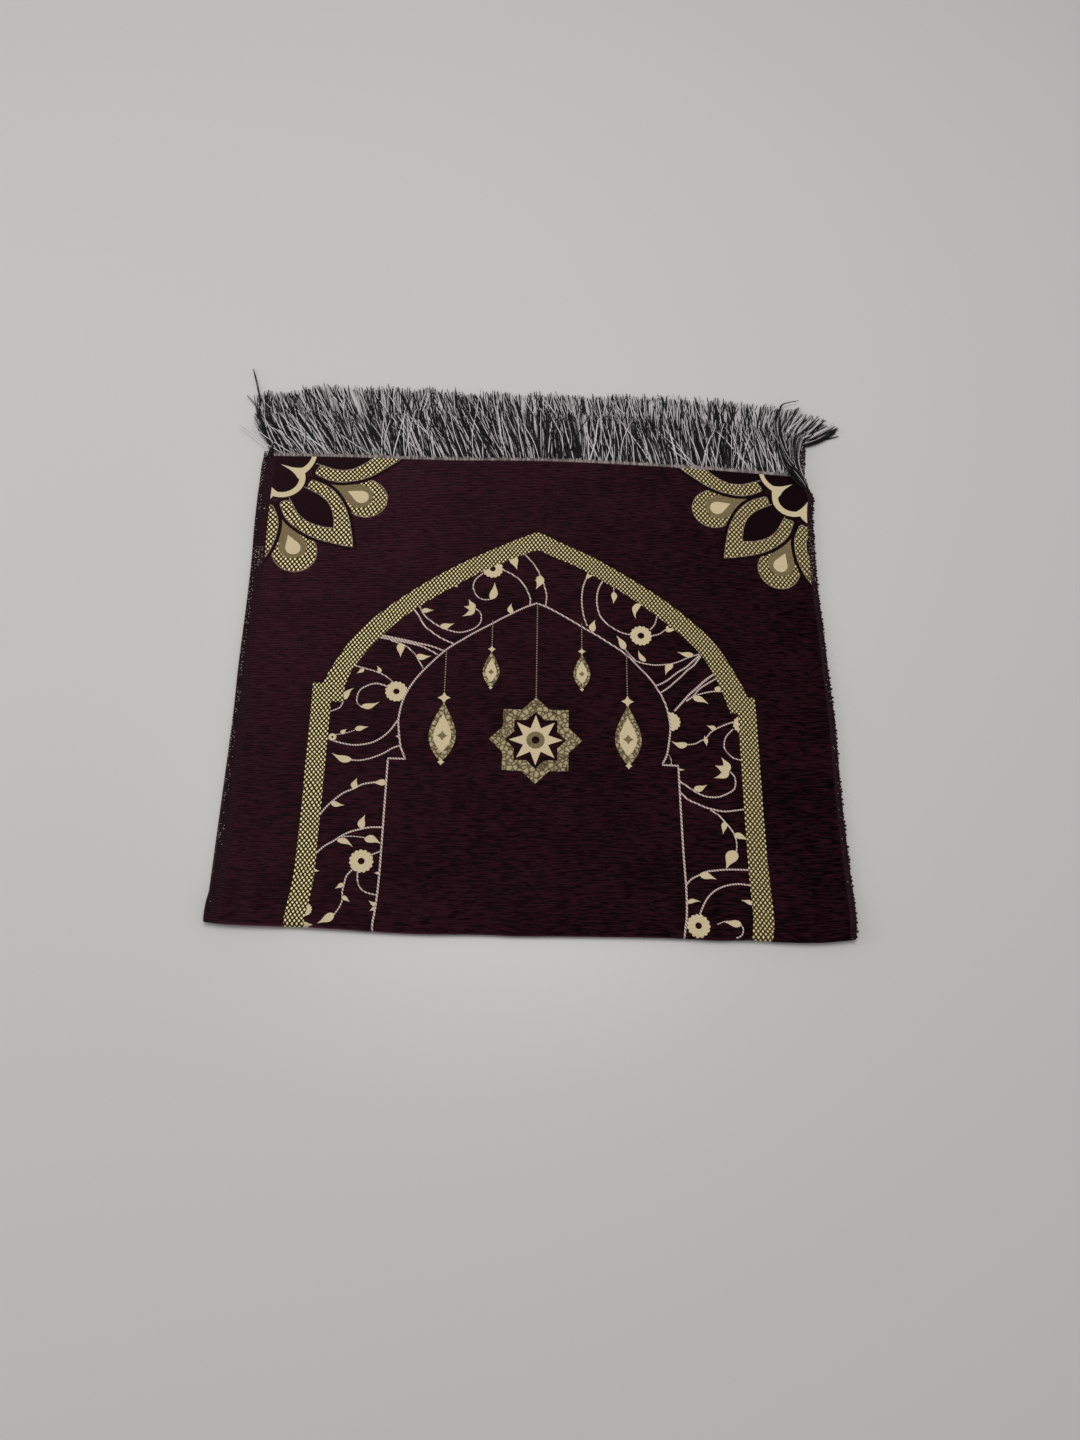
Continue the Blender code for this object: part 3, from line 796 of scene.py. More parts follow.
# Finishes of the woven cloth
# The chenille is a dull dark velvet with finer dark streaks along its weft. The gold is woven in
# bright lozenges between olive threads, and the cream and olive are flat, fine weaves.
LOZENGE_X = 0.0048
LOZENGE_Y = 0.0062
LOZENGE_DRIFT = 0.0045      # their rows wander by a part of this
CORNER_LOZENGE = 1.12       # the rosettes' lozenges are woven larger by this factor
WEFT_PITCH = 0.0023
PAINTED_SHEEN_TURN = 1.15             # painted sheen: the pile's sheen weight is higher towards the left, falling by this much a metre
PAINTED_SHEEN_MIDDLE = 0.40
# the same painted sheen, weaker, on the moat's darker ground
MOAT_PAINTED_SHEEN_TURN = 0.60
MOAT_PAINTED_SHEEN_MIDDLE = 0.20
STEM_DASH = 0.0042
CHAIN_PITCH = 0.0032
CURLS = 190.0               # the filigree's cells to a metre


class Field:
    """A number, place or colour that varies over a finish. Numbers add and multiply as usual."""

    def __init__(self, tree, kind, inputs, output=0, **settings):
        self.tree = tree
        self.node = tree.nodes.new(kind)
        for name, value in settings.items():
            setattr(self.node, name, value)
        for socket, value in inputs.items():
            if isinstance(value, Field):
                tree.links.new(value.socket, self.node.inputs[socket])
            else:
                self.node.inputs[socket].default_value = value
        self.socket = self.node.outputs[output]

    def calculate(self, operation, other=0.0):
        return Field(self.tree, "ShaderNodeMath", {0: self, 1: other}, operation=operation)

    def __add__(self, other):
        return self.calculate("ADD", other)

    def __sub__(self, other):
        return self.calculate("SUBTRACT", other)

    def __mul__(self, other):
        return self.calculate("MULTIPLY", other)

    def wave(self):
        return self.calculate("SINE")

    def clamped(self):
        """The same sum, kept between 0 and 1."""
        self.node.use_clamp = True
        return self


class Finish:
    """A material, and the fields that colour it and bump it."""

    def __init__(self, name, inputs):
        self.material = bpy.data.materials.new(name)
        self.material.use_nodes = True
        self.tree = self.material.node_tree
        self.shader = self.tree.nodes["Principled BSDF"]
        for socket, value in inputs.items():
            self.shader.inputs[socket].default_value = value

    def field(self, kind, inputs, output=0, **settings):
        return Field(self.tree, kind, inputs, output, **settings)

    def feed(self, socket, field):
        self.tree.links.new(field.socket, self.shader.inputs[socket])

    def ramp(self, amount, *stops):
        """A colour for each amount, from stops of an amount and its colour."""
        made = self.field("ShaderNodeValToRGB", {"Fac": amount})
        elements = made.node.color_ramp.elements
        while len(elements) < len(stops):
            elements.new(0.5)
        for element, (place, colour) in zip(elements, stops):
            element.position = place
            element.color = (*colour, 1.0)
        return made

    def colour(self, amount, *stops):
        self.base = self.ramp(amount, *stops)
        self.feed("Base Color", self.base)

    def mixed(self, share, first, second):
        """The first field's colour with a share of a second, plain one."""
        return self.field("ShaderNodeMix", {0: share, 6: first, 7: (*second, 1.0)}, 2, data_type="RGBA")

    def bump(self, height, distance, strength=0.8):
        inputs = {"Height": height, "Distance": distance, "Strength": strength}
        self.feed("Normal", self.field("ShaderNodeBump", inputs))


class Weave(Finish):
    """A finish of the woven cloth, drawn on it laid flat, with x and y in metres."""

    def __init__(self, name, roughness, sheen, sheen_tint=(1.0, 1.0, 1.0)):
        super().__init__(name, {"Roughness": roughness, "Specular IOR Level": 0.04, "Sheen Weight": sheen,
                                "Sheen Roughness": 0.45, "Sheen Tint": (*sheen_tint, 1.0)})
        self.flat = self.field("ShaderNodeUVMap", {}, uv_map="Flat")
        self.x = self.field("ShaderNodeSeparateXYZ", {0: self.flat})
        self.y = self.field("ShaderNodeSeparateXYZ", {0: self.flat}, 1)

    def noise(self, x_scale, y_scale, detail=2.0, rough=0.6):
        """Noise with its grains' size set apart across and along the rug."""
        place = self.field("ShaderNodeMapping", {"Vector": self.flat, "Scale": (x_scale, y_scale, 1.0)})
        inputs = {"Vector": place, "Scale": 1.0, "Detail": detail, "Roughness": rough}
        return self.field("ShaderNodeTexNoise", inputs, "Fac")

    def rows(self, place, pitch, shift=0.0):
        """A ridge for each thread that runs across the place's direction."""
        return (place * (math.tau / pitch) + shift).wave() * 0.5 + 0.5

    # Painted sheen: a sheen weight that falls off by turn a metre towards the right, so that the cloth looks
    # lit more strongly on its left.
    def nap(self, turn, middle):
        self.feed("Sheen Weight", (self.x * -turn + middle).clamped())


def pile_finish():
    weave = Weave("aubergine chenille", 0.9, 0.0, (0.95, 0.34, 0.50))
    weft = weave.rows(weave.y, WEFT_PITCH, weave.noise(30, 120, rough=0.5) * 5.0)
    streaks = weave.noise(55, 480)
    gaps = ((weave.noise(75, 400, 1.0, 0.5) - 0.54) * 7.0).clamped()
    broad = weave.noise(9, 22, rough=0.5)
    grain = weave.noise(600, 900, rough=0.7)
    shade = (streaks - 0.5) * 3.6 - gaps + (broad - 0.5) * 1.2 + weft * 0.10 + grain * 0.30 + 0.52
    weave.colour(shade.clamped(), (0.0, (0.0004, 0.0001, 0.0001)), (0.40, (0.0052, 0.0009, 0.0018)),
                 (1.0, (0.0190, 0.0040, 0.0072)))
    weave.nap(PAINTED_SHEEN_TURN, PAINTED_SHEEN_MIDDLE)
    weave.bump(weft * 0.6 + grain * 0.8 + streaks * 0.8, 0.0006)
    return weave


def selvage_finish():
    """The plain edge has less chenille, so its mauve ground shows through; its paler colour also stands in
    for painted light that the edges catch.
    """
    weave = Weave("plain edge weave", 0.85, 0.10, (0.95, 0.45, 0.60))
    amount = weave.rows(weave.y, WEFT_PITCH) * 0.35 + weave.noise(220, 520) * 0.65
    weave.colour(amount, (0.20, (0.004, 0.001, 0.002)), (0.50, (0.016, 0.005, 0.008)),
                 (0.85, (0.046, 0.017, 0.026)))
    weave.bump(amount, 0.0006)
    return weave


# Painted shade: the moat is the ground coloured darker than the pile, standing in for the shade that the
# raised chenille casts on the sunken figures beside it. The same dark ground fills the ring's and the petals'
# holes.
def painted_shade_moat_finish():
    weave = Weave("sunken ground beside the figures", 0.9, 0.0, (0.95, 0.40, 0.52))
    weave.colour(weave.noise(600, 500), (0.25, (0.0030, 0.0006, 0.0012)), (0.75, (0.0105, 0.0026, 0.0044)))
    weave.nap(MOAT_PAINTED_SHEEN_TURN, MOAT_PAINTED_SHEEN_MIDDLE)
    return weave


def rim_finish():
    weave = Weave("paler rim threads", 0.65, 0.08)
    beads = weave.rows(weave.x, 0.0023) * weave.rows(weave.y, 0.0027)
    weave.colour(beads * 0.6 + weave.noise(500, 500) * 0.4, (0.15, (0.060, 0.038, 0.026)),
                 (0.45, (0.300, 0.225, 0.160)), (0.80, (0.540, 0.445, 0.345)))
    return weave


def gold_finish(name, scale):
    """Bright in the middle of each woven lozenge, dark between them, with patchy dulling and painted shade
    that darkens it towards the right.
    """
    weave = Weave(name, 0.55, 0.10)
    drift = weave.noise(26, 34, 1.0, 0.5) * LOZENGE_DRIFT
    across = (weave.x + drift) * (math.pi / (LOZENGE_X * scale))
    along = (weave.y + drift) * (math.pi / (LOZENGE_Y * scale))
    rising = (across + along).wave().calculate("ABSOLUTE")
    falling = (across - along).wave().calculate("ABSOLUTE")
    amount = rising * falling + (weave.noise(500, 260, rough=0.7) - 0.5) * 0.65
    colour = weave.ramp(amount, (0.05, (0.010, 0.006, 0.001)), (0.34, (0.040, 0.028, 0.003)),
                        (0.52, (0.220, 0.162, 0.026)), (0.70, (0.870, 0.710, 0.380)),
                        (1.0, (0.980, 0.890, 0.640)))
    # painted shade: the gold grows darker towards the right, as if less light fell there; the noise adds
    # patches of duller weave
    dulling_and_painted_shade = weave.noise(45, 30, rough=0.5) * 0.20 + weave.x * 0.50 + 0.02
    weave.feed("Base Color", weave.mixed(dulling_and_painted_shade.clamped(), colour, (0.110, 0.078, 0.022)))
    weave.bump(amount, 0.0007, 0.9)
    return weave


def cream_finish():
    weave = Weave("cream weave", 0.62, 0.08)
    threads = (weave.rows(weave.x, 0.0011) + weave.rows(weave.y, 0.0014)) * 0.5
    amount = threads * 0.45 + weave.noise(600, 500) * 0.55
    weave.colour(amount, (0.10, (0.330, 0.250, 0.135)), (0.45, (0.630, 0.520, 0.320)),
                 (0.85, (0.770, 0.660, 0.450)))
    weave.bump(amount, 0.0005)
    return weave


def stem_finish():
    """A thin figure's cream threads dip under the ground every few millimetres."""
    weave = Weave("cream stem line", 0.65, 0.08)
    dash = weave.rows(weave.x * 1.3 + weave.y, STEM_DASH, weave.noise(60, 60, rough=0.5) * 6.0)
    weave.colour(dash * 0.7 + weave.noise(600, 500) * 0.4, (0.15, (0.110, 0.070, 0.062)),
                 (0.45, (0.440, 0.330, 0.290)), (0.90, (0.760, 0.630, 0.560)))
    return weave


def olive_finish():
    weave = Weave("olive twill", 0.65, 0.08)
    amount = weave.rows(weave.x + weave.y * 0.8, 0.0016) * 0.5 + weave.noise(420, 260) * 0.5
    weave.colour(amount, (0.10, (0.045, 0.030, 0.012)), (0.45, (0.165, 0.122, 0.056)),
                 (0.85, (0.360, 0.285, 0.150)))
    weave.bump(amount, 0.0005)
    return weave


def filigree_finish():
    weave = Weave("muted gold filigree", 0.60, 0.08)
    curls = weave.field("ShaderNodeTexVoronoi", {"Vector": weave.flat, "Scale": CURLS}, "Distance",
                        feature="DISTANCE_TO_EDGE")
    amount = (curls * 2.6 + weave.noise(420, 420) * 0.5).clamped()
    weave.colour(amount, (0.20, (0.030, 0.017, 0.012)), (0.42, (0.150, 0.112, 0.055)),
                 (0.80, (0.420, 0.350, 0.200)))
    weave.bump(amount, 0.0005)
    return weave


def chain_finish():
    weave = Weave("woven chain line", 0.70, 0.08)
    links = weave.rows(weave.y, CHAIN_PITCH)
    weave.colour(links, (0.30, (0.020, 0.008, 0.010)), (0.60, (0.300, 0.240, 0.170)))
    return weave


def reverse_finish():
    weave = Weave("plain reverse", 0.85, 0.10)
    threads = weave.rows(weave.x, 0.0013) + weave.rows(weave.y, WEFT_PITCH)
    amount = (threads + weave.noise(300, 500)) * 0.33
    weave.colour(amount, (0.20, (0.010, 0.005, 0.007)), (0.60, (0.040, 0.024, 0.028)),
                 (0.95, (0.190, 0.165, 0.150)))
    weave.bump(amount, 0.0005)
    return weave


weave_finish = {"pile": pile_finish(), "selvage": selvage_finish(), "moat": painted_shade_moat_finish(),
                "rim": rim_finish(), "gold": gold_finish("gold lozenge weave", 1.0),
                "corner gold": gold_finish("gold lozenge weave of the rosettes", CORNER_LOZENGE),
                "cream": cream_finish(), "stem": stem_finish(), "olive": olive_finish(),
                "filigree": filigree_finish(), "chain": chain_finish(), "reverse": reverse_finish()}
cloth = make_cloth()
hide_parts("rug_cloth")
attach(cloth, "root")


# Overlocked edges
# Both long edges are overlocked by machine: black thread wraps the edge in close slanting
# stitches, and flecks of a paler thread show between them. The last stitches bind the tapes' ends.
STITCH_PITCH = 0.0021
STITCH_RADIUS = 0.00036
STITCH_STRAY = 0.00020
BITE = 0.0066               # how far in from the edge the needle goes
BITE_STRAY = 0.00035
CORNER_BITE = 0.0115        # and how far at the cloth's ends
CORNER_START = 0.006        # this far from the ends the bite grows, over the next run
CORNER_RUN = 0.010
PAST_END = 0.0070           # the stitching runs on this far past the cloth's ends
FLECK_RADIUS = 0.00026
FLECK_ROWS = (0.12, 0.38, 0.66)     # the pale thread shows in three rows, at these shares of the bite
FLECK_SHARE = 0.62          # of the flecks show, where the table below says all
FLECK_HALF = (0.00040, 0.00028)     # half a fleck's reach across and along the edge
FLECK_STRAY = (0.0005, 0.0004)
FLECK_SINK = 0.0002         # a fleck's ends lie this much lower than its middle
BACK_FLECK = 0.8            # the lower layer's flecks are larger by this share near its far corners
BACK_START = 0.52           # from here on
BACK_RUN = 0.04
LOOP_RADIUS = 0.00085
LOOP_REACH = 0.0017
LOOP_SPREAD = 0.45          # the loops' reach differs by about this share
LOOP_SUNK = 0.0008          # their feet lie this far inside the edge
LOOP_HALF = 0.0012          # half a loop's length along the edge
LOOP_GAPS = (0.0026, 0.0062)
LOOP_COUNT = 300            # more than the edge holds
FOLD_REACH = 0.015
# one stitch: distance in from the edge, side of the cloth, and share of the pitch gone by
Turn = namedtuple("Turn", "inwards side gone")
STITCH = (Turn(1.0, 0.9, 0.0), Turn(0.45, 1.1, 0.25), Turn(-0.02, 0.9, 0.42), Turn(-0.06, 0.0, 0.5),
          Turn(-0.02, -0.9, 0.58), Turn(0.45, -1.1, 0.75), Turn(1.0, -0.9, 1.0))
# how many of the pale flecks show, along each edge from the fold, below 0 on the lower layer
FLECKS = table("at left right", (
    (-0.628, 0.4, 0.42), (-0.57, 0.4, 0.42), (-0.5, 0.6, 0.2), (0, 0.02, 0.08), (0.07, 0.05, 0.08),
    (0.13, 0.3, 0.08), (0.41, 0.45, 0.1), (0.43, 0.25, 0.25), (0.51, 0.15, 0.25), (0.53, 0.5, 0.1),
    (0.585, 0.45, 0.05), (0.599, 0.05, 0.02),
))


def tubes(name, paths, radius, finishes, sides=4, reference=(0.0, 0.0, 1.0), kinds=None, tones=None):
    """One mesh of many short tubes. paths is (tube, station, 3), radius the same without the 3."""
    paths = np.asarray(paths, float)
    count, stations = paths.shape[:2]
    radius = np.broadcast_to(radius, (count, stations))
    ahead = np.gradient(paths, axis=1)
    ahead /= np.linalg.norm(ahead, axis=2, keepdims=True)
    aside = np.cross(ahead, np.broadcast_to(reference, paths.shape))
    aside /= np.linalg.norm(aside, axis=2, keepdims=True)
    above = np.cross(aside, ahead)
    angle = math.tau * (np.arange(sides) + 0.5) / sides
    ring = (aside[:, :, None] * np.cos(angle)[None, None, :, None]
            + above[:, :, None] * np.sin(angle)[None, None, :, None])
    points = (paths[:, :, None] + ring * radius[:, :, None, None]).reshape(-1, 3)
    numbers = np.arange(count), np.arange(stations - 1), np.arange(sides)
    tube, station, side = np.meshgrid(*numbers, indexing="ij")
    here = (tube * stations + station) * sides
    following = (side + 1) % sides
    quads = np.stack([here + side, here + following, here + sides + following, here + sides + side], axis=-1)
    first = np.arange(count)[:, None] * stations * sides + np.arange(sides)[None, ::-1]
    last = (np.arange(count)[:, None] * stations + stations - 1) * sides + np.arange(sides)[None]
    mesh = bpy.data.meshes.new(name)
    mesh.from_pydata(points.tolist(), [], quads.reshape(-1, 4).tolist() + first.tolist() + last.tolist())
    for finish in finishes:
        mesh.materials.append(finish.material)
    if kinds is not None:
        kinds = np.asarray(kinds)
        per_quad = np.repeat(kinds, (stations - 1) * sides)
        mesh.polygons.foreach_set("material_index", np.concatenate([per_quad, kinds, kinds]))
    if tones is not None:
        tone = mesh.attributes.new("tone", "FLOAT", "POINT")
        tone.data.foreach_set("value", np.repeat(np.asarray(tones, np.float32), stations * sides))
    mesh.polygons.foreach_set("use_smooth", [True] * len(mesh.polygons))
    mesh.validate()
    return add_object(name, mesh)


def tone_and_fibre(finish, scale, detail):
    """The tone of each length of thread, and a fine noise over its surface."""
    place = finish.field("ShaderNodeTexCoord", {}, "Object")
    inputs = {"Vector": place, "Scale": scale, "Detail": detail}
    fibre = finish.field("ShaderNodeTexNoise", inputs, "Fac")
    return finish.field("ShaderNodeAttribute", {}, "Fac", attribute_name="tone"), fibre


def thread_finish(name, dark, light, roughness=0.6):
    """Spun thread: its tone varies from one length to the next."""
    finish = Finish(name, {"Roughness": roughness, "Specular IOR Level": 0.2})
    tone, fibre = tone_and_fibre(finish, 900.0, 2.0)
    finish.colour(tone * 0.75 + fibre * 0.25, (0.0, dark), (1.0, light))
    finish.bump(fibre, 0.0003, 0.7)
    return finish


dark_thread = thread_finish("dark overlock thread", (0.005, 0.002, 0.003), (0.024, 0.010, 0.014))
pale_thread = thread_finish("pale overlock thread", (0.30, 0.25, 0.24), (0.80, 0.72, 0.68))
for side, label in ((-1, "left"), (1, "right")):
    chance = np.random.default_rng(31 + side)
    starts = np.arange(-LOWER_LENGTH - PAST_END, UPPER_LENGTH + PAST_END, STITCH_PITCH)
    to_end = np.where(starts > 0, UPPER_LENGTH - starts, LOWER_LENGTH + starts)
    bite = BITE + (CORNER_BITE - BITE) * smooth((CORNER_START - to_end) / CORNER_RUN)
    inwards = np.array([turn.inwards for turn in STITCH])[None] * bite[:, None]
    rises = np.array([turn.side for turn in STITCH]) * (THICKNESS / 2 - STITCH_RADIUS * 0.8)
    gone = np.array([turn.gone for turn in STITCH]) * STITCH_PITCH
    along = starts[:, None] + gone[None] + chance.normal(0, STITCH_STRAY, (len(starts), 1))
    reach = chance.normal(0, BITE_STRAY, (len(starts), 1)) * (inwards > 0.5 * BITE)
    wrap = skin(side * (WIDTH / 2 - inwards + reach), along, np.broadcast_to(rises, along.shape))

    count = len(FLECK_ROWS) * len(starts)
    fleck_at = np.tile(starts, len(FLECK_ROWS)) + chance.normal(0, FLECK_STRAY[1], count)
    fleck_in = np.repeat(FLECK_ROWS, len(starts)) * BITE + chance.normal(0, FLECK_STRAY[0], count)
    size = 1 + BACK_FLECK * smooth((-BACK_START - fleck_at[:, None]) / BACK_RUN)
    fleck_in = fleck_in * size[:, 0]
    slant = np.linspace(-1, 1, len(STITCH))[None]
    fleck_along = fleck_at[:, None] + slant * size * FLECK_HALF[1]
    fleck_across = side * (WIDTH / 2 - fleck_in[:, None] - slant * size * FLECK_HALF[0])
    fleck_rise = THICKNESS / 2 + STITCH_RADIUS * 0.15 - FLECK_SINK * slant ** 2
    fleck_rise = fleck_rise * np.where(fleck_along > -FOLD_REACH, 1, -1)      # the side that lies up
    flecks = skin(fleck_across, fleck_along, fleck_rise)
    shown = chance.random(len(flecks)) < FLECK_SHARE * read(FLECKS, label, fleck_at)
    flecks, fleck_radius = flecks[shown], FLECK_RADIUS * size[shown, 0]

    # On the right edge the turns of the chenille weft stand out past the thread as small loops.
    loop_at = np.cumsum(chance.uniform(*LOOP_GAPS, LOOP_COUNT)) - LOWER_LENGTH
    loop_at = loop_at[(side > 0) & (loop_at < UPPER_LENGTH)]
    bow = np.sin(np.linspace(0, math.pi, len(STITCH)))
    spread = LOOP_SPREAD * chance.normal(0, 1, (len(loop_at), 1))
    loop_out = LOOP_REACH * (1 + spread) * bow[None] - LOOP_SUNK
    loop_along = loop_at[:, None] + np.linspace(-LOOP_HALF, LOOP_HALF, len(STITCH))[None]
    loops = skin(side * (WIDTH / 2 + loop_out), loop_along, np.zeros(loop_along.shape))
    counts = (len(wrap), len(flecks), len(loops))
    paths = np.concatenate([wrap, flecks, loops])
    radius = np.repeat((STITCH_RADIUS, FLECK_RADIUS, LOOP_RADIUS), counts)
    radius[len(wrap):len(wrap) + len(flecks)] = fleck_radius
    piece = tubes(f"overlock_{label}", paths, radius[:, None], (dark_thread, pale_thread),
                  reference=(0.06, 1.0, 0.02), kinds=np.repeat((0, 1, 0), counts),
                  tones=chance.random(len(paths)))
    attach(piece, "root")


# Fringe tapes
# A ribbed greyish tape, stitched to each end of the cloth, holds the fringe's yarns. Its ribs are
# the yarns' own loops, packed side by side.
TAPE_GAP = 0.0004
TAPE_DEPTH = 0.0065
TAPE_THICKNESS = 0.0016
UPPER_TAPE = (-0.3290, +0.3270)     # where each tape begins and ends across the cloth
LOWER_TAPE = (-0.3396, +0.3392)
RIB_PITCH = 0.0019
RIB_SHARE = 0.60            # a rib's radius as a share of the pitch, so that ribs overlap
RIB_FULLNESS = (0.78, 0.22)     # at its ends, and how much more in its middle
RIB_STRAY = 0.00012
RIB_STATIONS = 6
RIB_SIDES = 8

ribbed_tape = Finish("ribbed fringe tape", {"Roughness": 0.75, "Sheen Weight": 0.15})
tone, fibre = tone_and_fibre(ribbed_tape, 700.0, 3.0)
ribbed_tape.colour(tone * 0.6 + fibre * 0.4, (0.05, (0.030, 0.022, 0.023)), (0.45, (0.165, 0.130, 0.124)),
                   (0.90, (0.420, 0.360, 0.345)))
ribbed_tape.bump(fibre, 0.0004)


def tape_root(across, end):
    """Where the tape's middle meets an end of the cloth. The lower tape lies on the floor."""
    root = lay(across, np.full(len(across), end))
    if end < 0:
        root[:, 2] = TAPE_THICKNESS / 2
    return root


def make_tape(name, reach, end, seed):
    """The tape as ribs that lie side by side, each a flattened loop from the cloth to the yarns."""
    chance = np.random.default_rng(seed)
    count = int((reach[1] - reach[0]) / RIB_PITCH)
    across = reach[0] + (np.arange(count) + 0.5) / count * (reach[1] - reach[0])
    root = tape_root(across, end)
    share = np.linspace(0, 1, RIB_STATIONS)
    paths = np.repeat(root[:, None], RIB_STATIONS, axis=1)
    paths[:, :, 1] += TAPE_GAP + TAPE_DEPTH * share
    paths[:, :, 0] += chance.normal(0, RIB_STRAY, (count, RIB_STATIONS))
    fullness = RIB_FULLNESS[0] + RIB_FULLNESS[1] * np.sin(math.pi * share) ** 0.5
    rib = RIB_PITCH * RIB_SHARE
    piece = tubes(name, paths, rib * fullness[None], (ribbed_tape,), sides=RIB_SIDES,
                  tones=chance.random(count))
    points = np.array([point.co for point in piece.data.vertices]).reshape(count, RIB_STATIONS, RIB_SIDES, 3)
    middle = paths[:, :, None, 2]
    points[..., 2] = middle + (points[..., 2] - middle) * (TAPE_THICKNESS / 2 / rib)
    piece.data.vertices.foreach_set("co", points.astype(np.float32).ravel())
    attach(piece, "root")
    return piece


upper_tape = make_tape("tape_upper", UPPER_TAPE, UPPER_LENGTH, 41)
lower_tape = make_tape("tape_lower", LOWER_TAPE, -LOWER_LENGTH, 43)
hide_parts("fringe_upper")
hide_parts("fringe_lower")


# Fringe yarns
# Pale grey and black yarns hang from each tape, swept to the left over most of the width and
# splayed at the right corner. Each is cut to about 70 mm and frays a little at its end.
UPPER_LOCKS = table("at lean length", (
    (-0.34, -29, 0.068), (-0.24, -30, 0.072), (-0.2, -21, 0.069), (-0.15, -17, 0.07), (-0.11, -22, 0.073),
    (-0.03, -18, 0.072), (0.01, -6, 0.07), (0.1, -4, 0.07), (0.165, -10, 0.071), (0.21, 0, 0.07),
    (0.29, -4, 0.068), (0.34, -2, 0.064),
))
LOWER_LOCKS = table("at lean length", (
    (-0.356, -6, 0.043), (-0.325, -23, 0.049), (-0.3, -24, 0.057), (-0.25, -25, 0.071), (-0.205, -19, 0.07),
    (-0.19, -5, 0.068), (-0.16, -7, 0.068), (-0.1, -16, 0.068), (-0.045, -18, 0.069), (-0.015, -5, 0.067),
    (0.1, -3, 0.067), (0.2, -6, 0.065), (0.24, 1, 0.063), (0.29, 14, 0.06), (0.32, 38, 0.056),
    (0.336, 62, 0.053),
))
YARN_RADIUS = 0.00066
YARN_STATIONS = 8
STRAYS = 0.10               # share of the yarns that lie across the others
TUFT = 0.0032               # width of the tufts that cling together
GATHER = 0.28               # how far a tuft's yarns draw together at their tips
DARK_SHARE = 0.64
ROOT_SHARE = 0.62           # how far back in the tape the yarns come out
TWIST_SCALE = 230.0         # the plies' turns catch the light as short bright stretches
ROOT_STRAY = 0.0006         # the yarns' roots stray this far along the tape
# spreads of whole tufts and of single yarns: lean and bend in degrees, and length
LEAN_SPREAD = (5.0, 3.0)
BEND_SPREAD = (10, 9)
LENGTH_SPREAD = (0.0020, 0.0030)
SWING_SPREAD = 5            # degrees by which a yarn swings to and fro
STRAY_SPREAD = 17           # and by which a stray leans further, up to a limit
STRAY_LIMIT = 24
RADIUS_SPREAD = 0.15
YARN_SETTLE = 0.45          # a yarn comes down from the tape in this share of its length
YARN_ARCH = 0.0012          # and rises this much over the others at its root


def yarn_finish(name, dark, light, twist, roughness):
    """Plied yarn, with painted highlights where its turns catch the light along its length."""
    finish = thread_finish(name, dark, light, roughness)
    place = finish.field("ShaderNodeTexCoord", {}, "Object")
    inputs = {"Vector": place, "Scale": TWIST_SCALE, "Detail": 1.0}
    # painted highlight: patches of the yarn's colour are mixed towards its light colour
    lit = ((finish.field("ShaderNodeTexNoise", inputs, "Fac") - 0.36) * 3.6).clamped()
    finish.feed("Base Color", finish.mixed(lit * twist, finish.base, light))
    return finish


pale_yarn = yarn_finish("pale fringe yarn", (0.026, 0.023, 0.024), (0.720, 0.690, 0.690), 0.38, 0.60)
black_yarn = yarn_finish("black fringe yarn", (0.001, 0.001, 0.001), (0.012, 0.011, 0.012), 0.30, 0.75)


